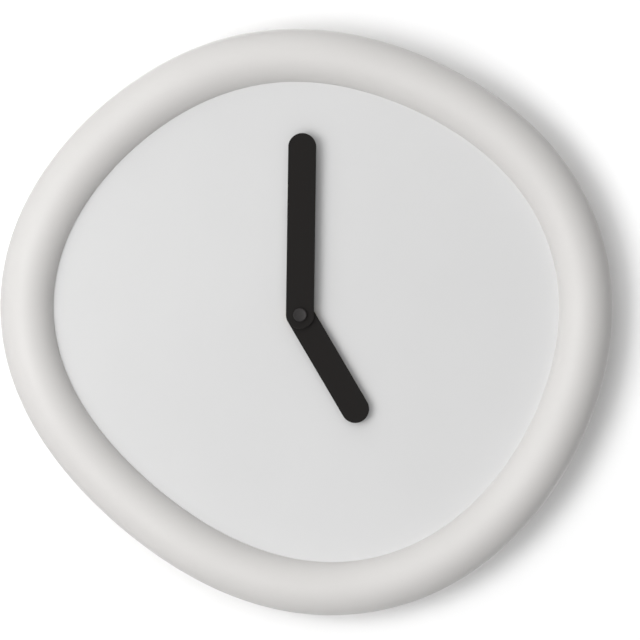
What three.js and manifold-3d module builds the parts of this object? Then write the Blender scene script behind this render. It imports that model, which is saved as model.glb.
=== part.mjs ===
// A wall clock with a softly lobed, thick round rim, a bare dial and two flat hands, and the
// battery movement behind the dial. Lengths are millimetres and angles are degrees.
//
// The clock is drawn looking at its dial: +X to the right, +Y up and +Z towards the viewer,
// with Z = 0 on the wall and X = Y = 0 on the axis of the hands. The last lines turn it so
// that it stands with +Z up and faces -Y.

import * as THREE from "three";
import { mergeVertices } from "three/addons/utils/BufferGeometryUtils.js";
import Module from "manifold-3d";

const wasm = await Module();
wasm.setup();

// Clearances shared by all the pieces
const gap = 0.3; // between faces that meet
const runningGap = 0.25; // all round a shaft that turns
const overrun = 1; // how far a cutting tool runs past the face it cuts
const bite = 0.4; // how deep a joined form sinks into the one that carries it

// How finely round forms are divided
const finely = {
  edge: 60,
  crown: 7,
  crownInside: 4,
  backCorner: 3,
  backCornerInside: 2,
  sideCorner: 2,
  sideCornerInside: 1,
  lug: 2,
  round: 16,
  arbor: 8,
  small: 8,
  corner: 3,
  tip: 9,
};
const closeEnough = 1e-6; // degrees, for a place found by halving

// The lobed outline: a circle with a few low waves added to its radius
const edge = {
  radius: 169.9,
  lobes: [
    { height: 5.96, perTurn: 1, phase: -19.5 },
    { height: 5.06, perTurn: 2, phase: -20.0 },
    { height: 2.55, perTurn: 3, phase: 44.3 },
    { height: 2.26, perTurn: 4, phase: 9.3 },
    { height: 0.47, perTurn: 5, phase: 25.9 },
  ],
};

// The hollow rim: a moulded front shell with a half-round crown and a channel behind it
const rim = {
  crownRadius: 15.25,
  wall: 2.4,
  split: 12, // height of the joint between front and back
  backCorner: 11, // round corner next to the wall
  innerCorner: 5,
  tongueThickness: 1.5,
  tongueHeight: 2.5,
};

const dial = {
  thickness: 3,
  bossRoom: 1.65, // from the screw bosses in the rim to the dial's edge
  bearing: 4, // how far the dial runs out over the wall that carries it
};

// Screws that hold the two halves of the rim together, put in from behind
const rimScrew = {
  count: 6,
  firstAngle: 30,
  headRadius: 3,
  headThickness: 2,
  headDepth: 0.5, // from the back face down to the head
  shankRadius: 1.4,
  reach: 14, // how far it goes into the front boss
  bossWall: 1.4,
  pillarWall: 1.4,
  pillarTop: 8,
};

// Keyhole plate at the top, over the clock's centre of gravity, and the two lugs behind it
const hanger = {
  shift: 5.6, // sideways from the hands' axis
  cornerRoom: 1, // from its upper corners to the rim
  width: 50,
  height: 22,
  thickness: 1.5,
  back: 3, // height of its rear face over the wall
  cornerRadius: 3,
  headHole: 4.7,
  slotHalfWidth: 2.4,
  slotTravel: 8,
  padWidth: 16, // pressed forward round the keyhole, where the wall screw's head bears
  padRise: 0.8,
  padEdge: 2, // from the plate's long edges to the pad
  lugWidth: 11,
  lugDepth: 4,
  lugPast: 7, // from a screw's middle to the lug's end
  screwEdge: 7, // from the plate's end to a screw's middle
  screwHead: 2.6,
  screwHeadThickness: 1.5,
  screwShank: 1.2,
};

// Movement: case, battery bay and the fixing that clamps it to the dial
const gasket = { radius: 9, thickness: 0.6 };
const casing = { above: 28, wall: 1.2, corner: 3, cover: 1.2 };
const snap = { width: 6, root: 1.6, fromEnd: 9 }; // fromEnd is to a hook's middle
const battery = { radius: 7.1, length: 49.4, nubRadius: 2.75, nubLength: 1 };
const bush = { radius: 3.9, flange: 6, flangeThickness: 1, rise: 0.7 };
const nut = { acrossFlats: 12, thickness: 2 };
const washer = { radius: 7, thickness: 0.6 };

// Wheel train. Every pair on the axes round the hands' own shares one centre distance.
const train = {
  centreDistance: 9,
  rotorDistance: 7.2,
  arborRadius: 0.5,
  wheelThickness: 0.8,
  motionThickness: 1,
  levelStep: 1.4,
  motionStep: 1.8,
  headroom: 0.9, // from the hour wheel to the posts in front of it
  postRadius: 1.6,
  socketDepth: 1.3,
  postDrop: 3, // length of the posts on the front wall
  coverPost: 1,
};
const teeth = {
  rotorPinion: 6,
  intermediateWheel: 30,
  intermediatePinion: 7,
  secondWheel: 42,
  secondPinion: 6,
  thirdWheel: 45,
  thirdPinion: 7,
  centreWheel: 56,
  cannonPinion: 12,
  minuteWheel: 36,
  minutePinion: 10,
  hourWheel: 40,
  settingPinion: 12,
};
// A tooth, in shares of the module across the pitch line and of the pitch along it
const tooth = { tipShare: 0.85, rootShare: 1.15, tipWidthShare: 0.2, rootWidthShare: 0.56 };
const trainAngles = { third: 150, intermediate: 60, minute: -20, rotor: 20 };

const pipes = { seconds: 0.5, wall: 0.75, hourWall: 0.8 };
const magnet = { radius: 2.9, back: 0.7, front: 1.5, airGap: 0.5 };
const stator = { thickness: 0.8, ringWidth: 2.2, barWidth: 4.4, armWidth: 3 };
const coil = {
  coreWidth: 2.4,
  coreThickness: 0.8,
  bobbinRadius: 2,
  flangeRadius: 3.8,
  flangeThickness: 1,
  windingRadius: 3.2,
  bottom: -0.3, // height of the lower stator arm
  headroom: 2.3, // from the upper stator arm to the case
};
const support = { radius: 1.2, wheelRoom: 0.67 }; // wheelRoom is beside the minute wheel
const board = { width: 14, height: 20, thickness: 0.8, lift: 0.8, left: 0.8, bottom: 4, peg: 1.5 };
const chip = { radius: 2.6, thickness: 0.8, rise: 5 };
const crystal = { radius: 1.1, length: 6, rise: 14 };
const contact = { height: 10, depth: 9, plate: 0.4, reach: 0.6 }; // reach is the pad's rise
const knob = {
  radius: 4.5,
  thickness: 2.1,
  standOff: 0.5,
  shaftRadius: 1,
  wallRoom: 1.2,
  flutes: 16,
  fluteRadius: 0.5,
};

// Hands, their collets and the cap over them
const hands = {
  width: 16.4,
  thickness: 1,
  minuteLength: 104.1, // from the axis to the end of the tip
  hourLength: 70.6,
  minuteAngle: 0.8, // clockwise from twelve
  hourAngle: 149.6,
};
const collet = { flange: 4.6, flangeThickness: 0.6, neckWall: 0.8, pipeRise: 0.4 };
const cap = { radius: 3.85, thickness: 1.8, boreDepth: 1.2 };

// Finishes, one material for each kind of surface
const finish = (color, roughness, metalness) =>
  new THREE.MeshStandardMaterial({ color, roughness, metalness });
const finishes = {
  rim: () => finish(0xe3e1de, 0.55, 0),
  dial: () => finish(0xe6e6e6, 0.6, 0),
  hand: () => finish(0x232120, 0.5, 0.1),
  cap: () => finish(0x3c3a39, 0.45, 0.3),
  casing: () => finish(0x1d1d1e, 0.55, 0),
  wheel: () => finish(0xe9e4d2, 0.4, 0),
  steel: () => finish(0xb5b7b9, 0.35, 0.9),
  brass: () => finish(0xc09a4a, 0.35, 0.9),
  copper: () => finish(0xa5552c, 0.35, 0.8),
  rubber: () => finish(0x202020, 0.8, 0),
  board: () => finish(0x2d6a3c, 0.5, 0),
  battery: () => finish(0x7d8187, 0.35, 0.6),
};

// Geometry helpers

const radians = THREE.MathUtils.degToRad;
const centre = new THREE.Vector2(0, 0);

function polar(origin, distance, degrees) {
  const angle = radians(degrees);
  return new THREE.Vector2(
    origin.x + distance * Math.cos(angle),
    origin.y + distance * Math.sin(angle),
  );
}

// A closed triangle mesh as a solid, its faces turned outwards
function solidOf(geometry) {
  geometry.deleteAttribute("normal");
  geometry.deleteAttribute("uv");
  const merged = mergeVertices(geometry);
  const vertProperties = new Float32Array(merged.attributes.position.array);
  const triVerts = new Uint32Array(merged.index.array);
  const corner = [0, 1, 2].map(() => new THREE.Vector3());
  let volume = 0;
  for (let i = 0; i < triVerts.length; i += 3) {
    corner.forEach((point, k) => point.fromArray(vertProperties, 3 * triVerts[i + k]));
    volume += corner[0].dot(corner[1].cross(corner[2]));
  }
  if (volume < 0) triVerts.reverse();
  return new wasm.Manifold(new wasm.Mesh({ numProp: 3, vertProperties, triVerts }));
}

function geometryOf(solid) {
  const mesh = solid.getMesh();
  const geometry = new THREE.BufferGeometry();
  geometry.setAttribute("position", new THREE.BufferAttribute(mesh.vertProperties, 3));
  geometry.setIndex(new THREE.BufferAttribute(mesh.triVerts, 1));
  geometry.computeVertexNormals();
  return geometry;
}

const joined = (first, ...others) => others.reduce((solid, next) => solid.add(next), first);
const cut = (first, ...others) => others.reduce((solid, next) => solid.subtract(next), first);

// A round bar along Z
function rod(at, radius, bottom, top, sides = finely.small) {
  const geometry = new THREE.CylinderGeometry(radius, radius, top - bottom, sides);
  geometry.rotateX(Math.PI / 2);
  geometry.translate(at.x, at.y, (bottom + top) / 2);
  return solidOf(geometry);
}

// A flat piece of any outline, from one height to another
function plate(shape, bottom, top, sides = finely.small) {
  const settings = { depth: top - bottom, bevelEnabled: false, curveSegments: sides };
  const geometry = new THREE.ExtrudeGeometry(shape, settings);
  geometry.translate(0, 0, bottom);
  return solidOf(geometry);
}

function block(left, right, low, high, bottom, top) {
  const geometry = new THREE.BoxGeometry(right - left, high - low, top - bottom);
  geometry.translate((left + right) / 2, (low + high) / 2, (bottom + top) / 2);
  return solidOf(geometry);
}

// A piece turned about the Z axis at a place, from a closed profile of [radius, height] points
function turned(at, profile, sides = finely.round) {
  const points = [...profile, profile[0]].map(([radius, height]) => new THREE.Vector2(radius, height));
  const geometry = new THREE.LatheGeometry(points, sides);
  geometry.rotateX(Math.PI / 2);
  geometry.translate(at.x, at.y, 0);
  return solidOf(geometry);
}

function tube(at, inner, outer, bottom, top, sides) {
  const profile = [
    [inner, bottom],
    [outer, bottom],
    [outer, top],
    [inner, top],
  ];
  return turned(at, profile, sides);
}

function roundedRectangle(left, right, low, high, radius) {
  const shape = new THREE.Shape();
  shape.moveTo(left + radius, low);
  shape.lineTo(right - radius, low);
  shape.absarc(right - radius, low + radius, radius, -Math.PI / 2, 0, false);
  shape.lineTo(right, high - radius);
  shape.absarc(right - radius, high - radius, radius, 0, Math.PI / 2, false);
  shape.lineTo(left + radius, high);
  shape.absarc(left + radius, high - radius, radius, Math.PI / 2, Math.PI, false);
  shape.lineTo(left, low + radius);
  shape.absarc(left + radius, low + radius, radius, Math.PI, 1.5 * Math.PI, false);
  return shape;
}

function arc(x, y, radius, from, to, steps) {
  return Array.from({ length: steps + 1 }, (_, i) => {
    const angle = radians(from + ((to - from) * i) / steps);
    return [x + radius * Math.cos(angle), y + radius * Math.sin(angle)];
  });
}

// The lobed edge

// The point of the outline at an angle, moved inwards square to the outline
function edgePoint(degrees, inset) {
  const angle = radians(degrees);
  let radius = edge.radius;
  let slope = 0;
  for (const lobe of edge.lobes) {
    const phase = lobe.perTurn * (angle - radians(lobe.phase));
    radius += lobe.height * Math.cos(phase);
    slope -= lobe.height * lobe.perTurn * Math.sin(phase);
  }
  const along = new THREE.Vector2(
    slope * Math.cos(angle) - radius * Math.sin(angle),
    slope * Math.sin(angle) + radius * Math.cos(angle),
  ).normalize();
  return new THREE.Vector2(
    radius * Math.cos(angle) - along.y * inset,
    radius * Math.sin(angle) + along.x * inset,
  );
}

// A section of [inset, height] points carried round the outline, all the way or over a part
function swept(section, from = 0, to = 360, stations = finely.edge) {
  const whole = to - from === 360;
  const rows = whole ? stations : stations + 1;
  const size = section.length;
  const positions = [];
  for (let i = 0; i < rows; i += 1) {
    for (const [inset, height] of section) {
      const point = edgePoint(from + ((to - from) * i) / stations, inset);
      positions.push(point.x, point.y, height);
    }
  }
  const index = [];
  for (let i = 0; i < stations; i += 1) {
    for (let j = 0; j < size; j += 1) {
      const here = i * size;
      const next = ((i + 1) % rows) * size;
      const up = (j + 1) % size;
      index.push(here + j, next + j, next + up, here + j, next + up, here + up);
    }
  }
  if (!whole) {
    const outline = section.map(([inset, height]) => new THREE.Vector2(inset, height));
    for (const [a, b, c] of THREE.ShapeUtils.triangulateShape(outline, [])) {
      const last = (rows - 1) * size;
      index.push(a, b, c, last + a, last + c, last + b);
    }
  }
  const geometry = new THREE.BufferGeometry();
  geometry.setAttribute("position", new THREE.Float32BufferAttribute(positions, 3));
  geometry.setIndex(index);
  return solidOf(geometry);
}

// The angle at which the outline, moved inwards, passes over a place x near the top
function angleAbove(x, inset) {
  let low = 45;
  let high = 135;
  while (high - low > closeEnough) {
    const middle = (low + high) / 2;
    if (edgePoint(middle, inset).x > x) low = middle;
    else high = middle;
  }
  return (low + high) / 2;
}

// Heights over the wall: the knob, the case and its wheels, then the dial and the rim round it

const caseBack = knob.wallRoom + knob.thickness + knob.standOff;
const inside = { back: caseBack + casing.cover };
const coverPostTop = inside.back + train.coverPost;
const level = (step) => coverPostTop + gap + step * train.levelStep;
const minuteLevel = level(4);
const hourLevel = minuteLevel + train.motionStep;
const hourTop = hourLevel + train.motionThickness;
const postBottom = hourTop + train.headroom;
inside.front = Math.max(postBottom + train.postDrop, caseBack + 2 * (battery.radius + gap));
const caseFront = inside.front + casing.wall;
const gasketBottom = caseFront + gap;
dial.back = gasketBottom + gasket.thickness + gap;
dial.front = dial.back + dial.thickness;
const crownCentre = dial.back;
const crest = crownCentre + rim.crownRadius;
const lip = dial.front + gap;
const washerBottom = dial.front + gap;
const nutBottom = washerBottom + washer.thickness + gap;
const nutTop = nutBottom + nut.thickness;
const bushTop = nutTop + bush.rise;

// Rim, dial and hanger

const screwPlaces = Array.from({ length: rimScrew.count }, (_, i) =>
  edgePoint(rimScrew.firstAngle + (360 * i) / rimScrew.count, rim.crownRadius),
);
const bossBottom = rimScrew.pillarTop + gap;
const screwSeat = rimScrew.headDepth + rimScrew.headThickness + gap;
const pilotRadius = rimScrew.shankRadius + gap;
const bossRadius = pilotRadius + rimScrew.bossWall;
const screwTip = bossBottom + rimScrew.reach;
dial.inset = rim.crownRadius + bossRadius + dial.bossRoom;
const supportInset = dial.inset + dial.bearing;
const supportOuter = supportInset + rim.wall;

function rimFront() {
  const { crownRadius, wall, split } = rim;
  const insideRadius = crownRadius - wall;
  const lipAngle = (radius) => THREE.MathUtils.radToDeg(Math.asin((lip - crownCentre) / radius));
  const shell = swept([
    [0, split],
    ...arc(crownRadius, crownCentre, crownRadius, 180, lipAngle(crownRadius), finely.crown),
    ...arc(crownRadius, crownCentre, insideRadius, lipAngle(insideRadius), 180, finely.crownInside),
    [wall, split],
  ]);
  const bossTop = crest - wall / 2;
  const bosses = screwPlaces.map((at) => rod(at, bossRadius, bossBottom, bossTop));
  const pilots = screwPlaces.map((at) => rod(at, pilotRadius, bossBottom - overrun, screwTip + gap));
  return cut(joined(shell, ...bosses), ...pilots);
}

const lugBack = hanger.back + hanger.thickness + gap;
const lugTop = lugBack + hanger.lugDepth;
// The height at which the outline, moved inwards, passes over a place x near the top
const roofOver = (x, inset) => edgePoint(angleAbove(x, inset), inset).y;
const hangerLeft = hanger.shift - hanger.width / 2;
const hangerRoof = Math.min(
  roofOver(hangerLeft, supportOuter),
  roofOver(hangerLeft + hanger.width, supportOuter),
);
const hangerTop = hangerRoof - hanger.cornerRoom;
const hangerMiddle = hangerTop - hanger.height / 2;
const lugInset = roofOver(hanger.shift, 0) - hangerMiddle + hanger.lugPast;
const hangerScrews = [-1, 1].map(
  (side) => new THREE.Vector2(hanger.shift + side * (hanger.width / 2 - hanger.screwEdge), hangerMiddle),
);

function rimBack() {
  const { wall, split, backCorner, innerCorner, tongueThickness, tongueHeight } = rim;
  const top = split - gap;
  const supportTop = dial.back - gap;
  const tongueOuter = wall + gap;
  const tongueInner = tongueOuter + tongueThickness;
  const insideCorner = backCorner - wall;
  const tongueRoot = THREE.MathUtils.radToDeg(Math.acos((backCorner - tongueInner) / insideCorner));
  const channel = swept([
    [0, top],
    ...arc(backCorner, backCorner, backCorner, 180, 270, finely.backCorner),
    ...arc(supportOuter - innerCorner, innerCorner, innerCorner, -90, 0, finely.sideCorner),
    [supportOuter, supportTop],
    [supportInset, supportTop],
    ...arc(supportOuter - innerCorner, innerCorner, innerCorner - wall, 0, -90, finely.sideCornerInside),
    ...arc(backCorner, backCorner, insideCorner, 270, 180 + tongueRoot, finely.backCornerInside),
    [tongueInner, split + tongueHeight],
    [tongueOuter, split + tongueHeight],
    [tongueOuter, top],
  ]);
  const pillarRadius = rimScrew.headRadius + gap + rimScrew.pillarWall;
  const pillars = screwPlaces.map((at) => rod(at, pillarRadius, wall / 2, rimScrew.pillarTop));
  const lugs = hangerScrews.map((at) => {
    const section = [
      [supportInset + wall / 2, lugBack],
      [lugInset, lugBack],
      [lugInset, lugTop],
      [supportInset + wall / 2, lugTop],
    ];
    const right = angleAbove(at.x + hanger.lugWidth / 2, supportOuter);
    const left = angleAbove(at.x - hanger.lugWidth / 2, supportOuter);
    return swept(section, right, left, finely.lug);
  });
  const heads = screwPlaces.map((at) => rod(at, rimScrew.headRadius + gap, -overrun, screwSeat));
  const shanks = screwPlaces.map((at) => rod(at, pilotRadius, 0, rimScrew.pillarTop + overrun));
  const lugHoles = hangerScrews.map((at) =>
    rod(at, hanger.screwShank + gap, lugBack - overrun, lugTop + overrun),
  );
  return cut(joined(channel, ...pillars, ...lugs), ...heads, ...shanks, ...lugHoles);
}

function dialPlate() {
  const outline = Array.from({ length: finely.edge }, (_, i) =>
    edgePoint((360 * i) / finely.edge, dial.inset),
  );
  const hole = rod(centre, bush.radius + gap, dial.back - overrun, dial.front + overrun, finely.round);
  return cut(plate(new THREE.Shape(outline), dial.back, dial.front), hole);
}

function rimScrewSolid(at) {
  const { headRadius, shankRadius, headDepth, headThickness } = rimScrew;
  const neck = headDepth + headThickness;
  return turned(
    at,
    [
      [0, headDepth],
      [headRadius, headDepth],
      [headRadius, neck],
      [shankRadius, neck],
      [shankRadius, screwTip - shankRadius],
      [0, screwTip],
    ],
    finely.small,
  );
}

function hangerPlate() {
  const { shift, back, thickness, cornerRadius, headHole, slotHalfWidth, slotTravel } = hanger;
  const low = hangerTop - hanger.height;
  const sheet = roundedRectangle(hangerLeft, hangerLeft + hanger.width, low, hangerTop, cornerRadius);
  const padLeft = shift - hanger.padWidth / 2;
  const pad = roundedRectangle(
    padLeft,
    padLeft + hanger.padWidth,
    low + hanger.padEdge,
    hangerTop - hanger.padEdge,
    cornerRadius,
  );
  const front = back + thickness;
  const padFront = front + hanger.padRise;
  const headCentre = hangerMiddle - slotTravel / 2;
  const mouth = Math.asin(slotHalfWidth / headHole);
  const mouthRight = Math.PI / 2 - mouth;
  const mouthLeft = Math.PI / 2 + mouth - 2 * Math.PI;
  const keyhole = new THREE.Shape();
  keyhole.absarc(shift, headCentre, headHole, mouthRight, mouthLeft, true);
  keyhole.absarc(shift, headCentre + slotTravel, slotHalfWidth, Math.PI, 0, true);
  return cut(
    joined(plate(sheet, back, front, finely.corner), plate(pad, front - bite, padFront, finely.corner)),
    plate(keyhole, back - overrun, padFront + overrun),
    ...hangerScrews.map((at) => rod(at, hanger.screwShank + gap, back - overrun, front + overrun)),
  );
}

function hangerScrewSolid(at) {
  const headTop = hanger.back - gap;
  const headBottom = headTop - hanger.screwHeadThickness;
  const tip = lugTop - gap;
  return joined(
    rod(at, hanger.screwHead, headBottom, headTop),
    rod(at, hanger.screwShank, headTop - bite, tip),
  );
}

// Movement case and its fixing to the dial

// Wheels: each pair's module comes from its centre distance
const pairModule = (distance, a, b) => (2 * distance) / (teeth[a] + teeth[b]);
const modules = {
  centre: pairModule(train.centreDistance, "centreWheel", "thirdPinion"),
  third: pairModule(train.centreDistance, "thirdWheel", "secondPinion"),
  second: pairModule(train.centreDistance, "secondWheel", "intermediatePinion"),
  rotor: pairModule(train.rotorDistance, "intermediateWheel", "rotorPinion"),
  minute: pairModule(train.centreDistance, "minuteWheel", "cannonPinion"),
  hour: pairModule(train.centreDistance, "hourWheel", "minutePinion"),
};
const tipRadius = (count, module) => (count / 2 + tooth.tipShare) * module;

const axes = { centre };
axes.third = polar(centre, train.centreDistance, trainAngles.third);
axes.intermediate = polar(centre, train.centreDistance, trainAngles.intermediate);
axes.minute = polar(centre, train.centreDistance, trainAngles.minute);
axes.rotor = polar(axes.intermediate, train.rotorDistance, trainAngles.rotor);
const settingDistance = (modules.minute * (teeth.minuteWheel + teeth.settingPinion)) / 2;
axes.setting = polar(axes.minute, settingDistance, trainAngles.minute);

// The battery between its contacts sets the bay's width, and the case closes round the bay on
// one side and the coil, which stands clear of the minute wheel, on the other
const padFace = (battery.length + battery.nubLength) / 2 + gap;
const baySide = padFace + contact.reach + contact.plate + gap;
const minuteWheelSide = axes.minute.x + tipRadius(teeth.minuteWheel, modules.minute);
const supportX = minuteWheelSide + support.wheelRoom + support.radius;
const coilX = supportX + support.radius + gap + coil.flangeRadius;
inside.side = Math.max(baySide, coilX + coil.flangeRadius + gap);
inside.top = casing.above - casing.wall;
const caseSide = inside.side + casing.wall;

// The lower half follows from the minute wheel's room and the battery under it
const partition = axes.minute.y - tipRadius(teeth.minuteWheel, modules.minute) - 2 * gap;
const bay = { top: partition - casing.wall };
bay.bottom = bay.top - 2 * (battery.radius + gap);
const caseLow = bay.bottom - casing.wall;
const batteryAxis = { y: (bay.top + bay.bottom) / 2, z: inside.front - gap - battery.radius };

const arborTop = postBottom + train.socketDepth - gap;
const arborBottom = coverPostTop - train.socketDepth;
const socketRadius = train.arborRadius + runningGap;
const coilTop = inside.top - coil.headroom - stator.armWidth / 2;
const statorBack = level(2);
const statorFront = statorBack + stator.thickness;
const coreBack = statorFront + gap;
const coreMiddle = coreBack + coil.coreThickness / 2;
const snapRows = [partition + snap.fromEnd, inside.top - snap.fromEnd];
const boardBack = hourTop + board.lift;
const boardLeft = -inside.side + board.left;
const boardLow = partition + board.bottom;
const pegs = [board.peg * 2, board.height - board.peg * 2].map(
  (rise) => new THREE.Vector2(boardLeft + board.peg * 2, boardLow + rise),
);

function movementCase() {
  const { above, wall, corner } = casing;
  const outer = roundedRectangle(-caseSide, caseSide, caseLow, above, corner);
  const room = roundedRectangle(-inside.side, inside.side, bay.top, inside.top, corner - wall);
  const bayRoom = roundedRectangle(-baySide, baySide, bay.bottom, partition, corner - wall);
  const tray = cut(
    plate(outer, caseBack, caseFront, finely.corner),
    plate(room, caseBack - overrun, inside.front, finely.corner),
    plate(bayRoom, caseBack - overrun, inside.front, finely.corner),
  );
  const wallTop = inside.front + bite;
  const divider = block(-inside.side - bite, inside.side + bite, bay.top, partition, caseBack, wallTop);
  const posts = ["third", "intermediate", "minute", "rotor", "setting"].map((name) =>
    rod(axes[name], train.postRadius, postBottom, wallTop),
  );
  const supports = [coil.bottom, coilTop].map((y) =>
    rod(new THREE.Vector2(supportX, y), support.radius, statorFront + gap, wallTop),
  );
  const boardPegs = pegs.map((at) => rod(at, board.peg, boardBack + board.thickness + gap, wallTop));
  const ledge = coil.flangeRadius - coil.coreWidth / 2;
  const near = inside.side - ledge;
  const far = inside.side + bite;
  const lowLedge = [partition - bite, partition + ledge];
  const highLedge = [inside.top - ledge, above - wall / 2];
  const ledges = [lowLedge, highLedge].flatMap(([low, high]) => [
    block(-far, -near, low, high, inside.back + gap, wallTop),
    block(near, far, low, high, inside.back + gap, wallTop),
  ]);
  const body = joined(tray, divider, ...posts, ...supports, ...boardPegs, ...ledges);
  const sockets = ["third", "intermediate", "minute", "rotor", "setting"].map((name) =>
    rod(axes[name], socketRadius, postBottom - overrun, postBottom + train.socketDepth),
  );
  const neck = rod(centre, bush.radius + gap, inside.front - overrun, caseFront + overrun, finely.round);
  const windows = snapBlocks(
    [inside.side - overrun, caseSide + overrun],
    snap.width / 2 + gap,
    [inside.back - gap, coverPostTop + gap],
  );
  return cut(body, ...sockets, ...windows, neck);
}

// Four blocks, one for each snap hook: two rows on either side of the case
function snapBlocks([near, far], halfWidth, [bottom, top]) {
  return snapRows.flatMap((row) => [
    block(near, far, row - halfWidth, row + halfWidth, bottom, top),
    block(-far, -near, row - halfWidth, row + halfWidth, bottom, top),
  ]);
}

function movementCover() {
  const side = inside.side - gap;
  const corner = casing.corner - casing.wall;
  const shape = roundedRectangle(-side, side, partition + gap, inside.top - gap, corner);
  const posts = ["centre", "third", "intermediate", "minute", "rotor"];
  const halfHook = snap.width / 2;
  const body = joined(
    plate(shape, caseBack, inside.back, finely.corner),
    ...snapBlocks([side - snap.root, side], halfHook, [inside.back - bite, coverPostTop]),
    ...snapBlocks([side - bite, caseSide - gap], halfHook, [inside.back, coverPostTop]),
    ...posts.map((name) => rod(axes[name], train.postRadius, inside.back - bite, coverPostTop)),
  );
  const sockets = posts.map((name) =>
    rod(axes[name], socketRadius, arborBottom - gap, coverPostTop + overrun),
  );
  const shaftHole = rod(axes.setting, knob.shaftRadius + gap, caseBack - overrun, coverPostTop + overrun);
  return cut(body, ...sockets, shaftHole);
}

const pipe = { secondsBore: pipes.seconds + runningGap };
pipe.minute = pipe.secondsBore + pipes.wall;
pipe.hourBore = pipe.minute + runningGap;
pipe.hour = pipe.hourBore + pipes.hourWall;
const bushBore = pipe.hour + runningGap;
const bushBottom = inside.front - gap - bush.flangeThickness;

function threadedBush() {
  return turned(centre, [
    [bushBore, bushBottom],
    [bush.flange, bushBottom],
    [bush.flange, bushBottom + bush.flangeThickness],
    [bush.radius, bushBottom + bush.flangeThickness],
    [bush.radius, bushTop],
    [bushBore, bushTop],
  ]);
}

function hexNut() {
  const corner = nut.acrossFlats / Math.sqrt(3);
  const body = rod(centre, corner, nutBottom, nutTop, 6);
  const bore = rod(centre, bush.radius + gap, nutBottom - overrun, nutTop + overrun, finely.round);
  return cut(body, bore);
}

// Battery, contacts and electronics

function batteryCell() {
  const { radius, length, nubRadius, nubLength } = battery;
  const profile = [
    [0, -length / 2],
    [radius, -length / 2],
    [radius, length / 2],
    [nubRadius, length / 2],
    [nubRadius, length / 2 + nubLength],
    [0, length / 2 + nubLength],
  ].map(([x, y]) => new THREE.Vector2(x, y));
  const geometry = new THREE.LatheGeometry(profile, finely.round);
  geometry.rotateZ(-Math.PI / 2);
  geometry.translate(-nubLength / 2, batteryAxis.y, batteryAxis.z);
  return solidOf(geometry);
}

// A sheet contact with a pad pressed out of its middle towards the battery
function batteryContact(side) {
  const wallFace = baySide - gap;
  const plateFace = wallFace - contact.plate;
  const shape = new THREE.Shape();
  const half = contact.height / 2;
  const points = [
    [wallFace, -half],
    [wallFace, half],
    [plateFace, half],
    [plateFace, half / 2],
    [padFace, half / 4],
    [padFace, -half / 4],
    [plateFace, -half / 2],
    [plateFace, -half],
  ];
  shape.setFromPoints(points.map(([x, y]) => new THREE.Vector2(side * x, batteryAxis.y + y)));
  return plate(shape, batteryAxis.z - contact.depth / 2, batteryAxis.z + contact.depth / 2);
}

function circuitBoard() {
  return block(
    boardLeft,
    boardLeft + board.width,
    boardLow,
    boardLow + board.height,
    boardBack,
    boardBack + board.thickness,
  );
}

function chipCover() {
  const at = new THREE.Vector2(boardLeft + board.width / 2, boardLow + chip.rise);
  const top = boardBack - gap;
  const bottom = top - chip.thickness;
  return turned(at, [
    [0, bottom],
    [chip.radius / 2, bottom],
    [chip.radius, bottom + chip.thickness / 2],
    [chip.radius, top],
    [0, top],
  ], finely.small);
}

function quartzCrystal() {
  const geometry = new THREE.CylinderGeometry(crystal.radius, crystal.radius, crystal.length, finely.small);
  geometry.translate(boardLeft + board.width / 2, boardLow + crystal.rise, boardBack - gap - crystal.radius);
  return solidOf(geometry);
}

// Motor

function statorPlate() {
  const { ringWidth, barWidth, armWidth } = stator;
  const holeRadius = magnet.radius + magnet.airGap;
  const armEnd = coilX + coil.coreWidth / 2;
  const low = coil.bottom - armWidth / 2;
  const high = coilTop + armWidth / 2;
  const left = axes.rotor.x - barWidth / 2;
  const body = joined(
    rod(axes.rotor, holeRadius + ringWidth, statorBack, statorFront, finely.round),
    block(left, left + barWidth, low, high, statorBack, statorFront),
    ...[coil.bottom, coilTop].map((y) =>
      block(left, armEnd, y - armWidth / 2, y + armWidth / 2, statorBack, statorFront),
    ),
  );
  return cut(body, rod(axes.rotor, holeRadius, statorBack - overrun, statorFront + overrun, finely.round));
}

function coilCore() {
  const low = coil.bottom - stator.armWidth / 2;
  const high = coilTop + stator.armWidth / 2;
  const left = coilX - coil.coreWidth / 2;
  return block(left, left + coil.coreWidth, low, high, coreBack, coreBack + coil.coreThickness);
}

const bobbinLow = coil.bottom + stator.armWidth / 2 + gap;
const bobbinHigh = coilTop - stator.armWidth / 2 - gap;

// A round bar or tube along Y on the coil's axis
function alongCoil(profile, sides) {
  const points = profile.map(([radius, y]) => new THREE.Vector2(radius, y));
  const geometry = new THREE.LatheGeometry(points, sides);
  geometry.translate(coilX, 0, coreMiddle);
  return solidOf(geometry);
}

function coilBobbin() {
  const { bobbinRadius, flangeRadius, flangeThickness, coreWidth, coreThickness } = coil;
  const spool = alongCoil([
    [0, bobbinLow],
    [flangeRadius, bobbinLow],
    [flangeRadius, bobbinLow + flangeThickness],
    [bobbinRadius, bobbinLow + flangeThickness],
    [bobbinRadius, bobbinHigh - flangeThickness],
    [flangeRadius, bobbinHigh - flangeThickness],
    [flangeRadius, bobbinHigh],
    [0, bobbinHigh],
  ], finely.round);
  const halfWidth = coreWidth / 2 + gap;
  const halfDepth = coreThickness / 2 + gap;
  const slot = block(
    coilX - halfWidth,
    coilX + halfWidth,
    bobbinLow - overrun,
    bobbinHigh + overrun,
    coreMiddle - halfDepth,
    coreMiddle + halfDepth,
  );
  return cut(spool, slot);
}

function coilWinding() {
  const low = bobbinLow + coil.flangeThickness + gap;
  const high = bobbinHigh - coil.flangeThickness - gap;
  const inner = coil.bobbinRadius + gap;
  return alongCoil([
    [inner, low],
    [coil.windingRadius, low],
    [coil.windingRadius, high],
    [inner, high],
    [inner, low],
  ], finely.round);
}

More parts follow.
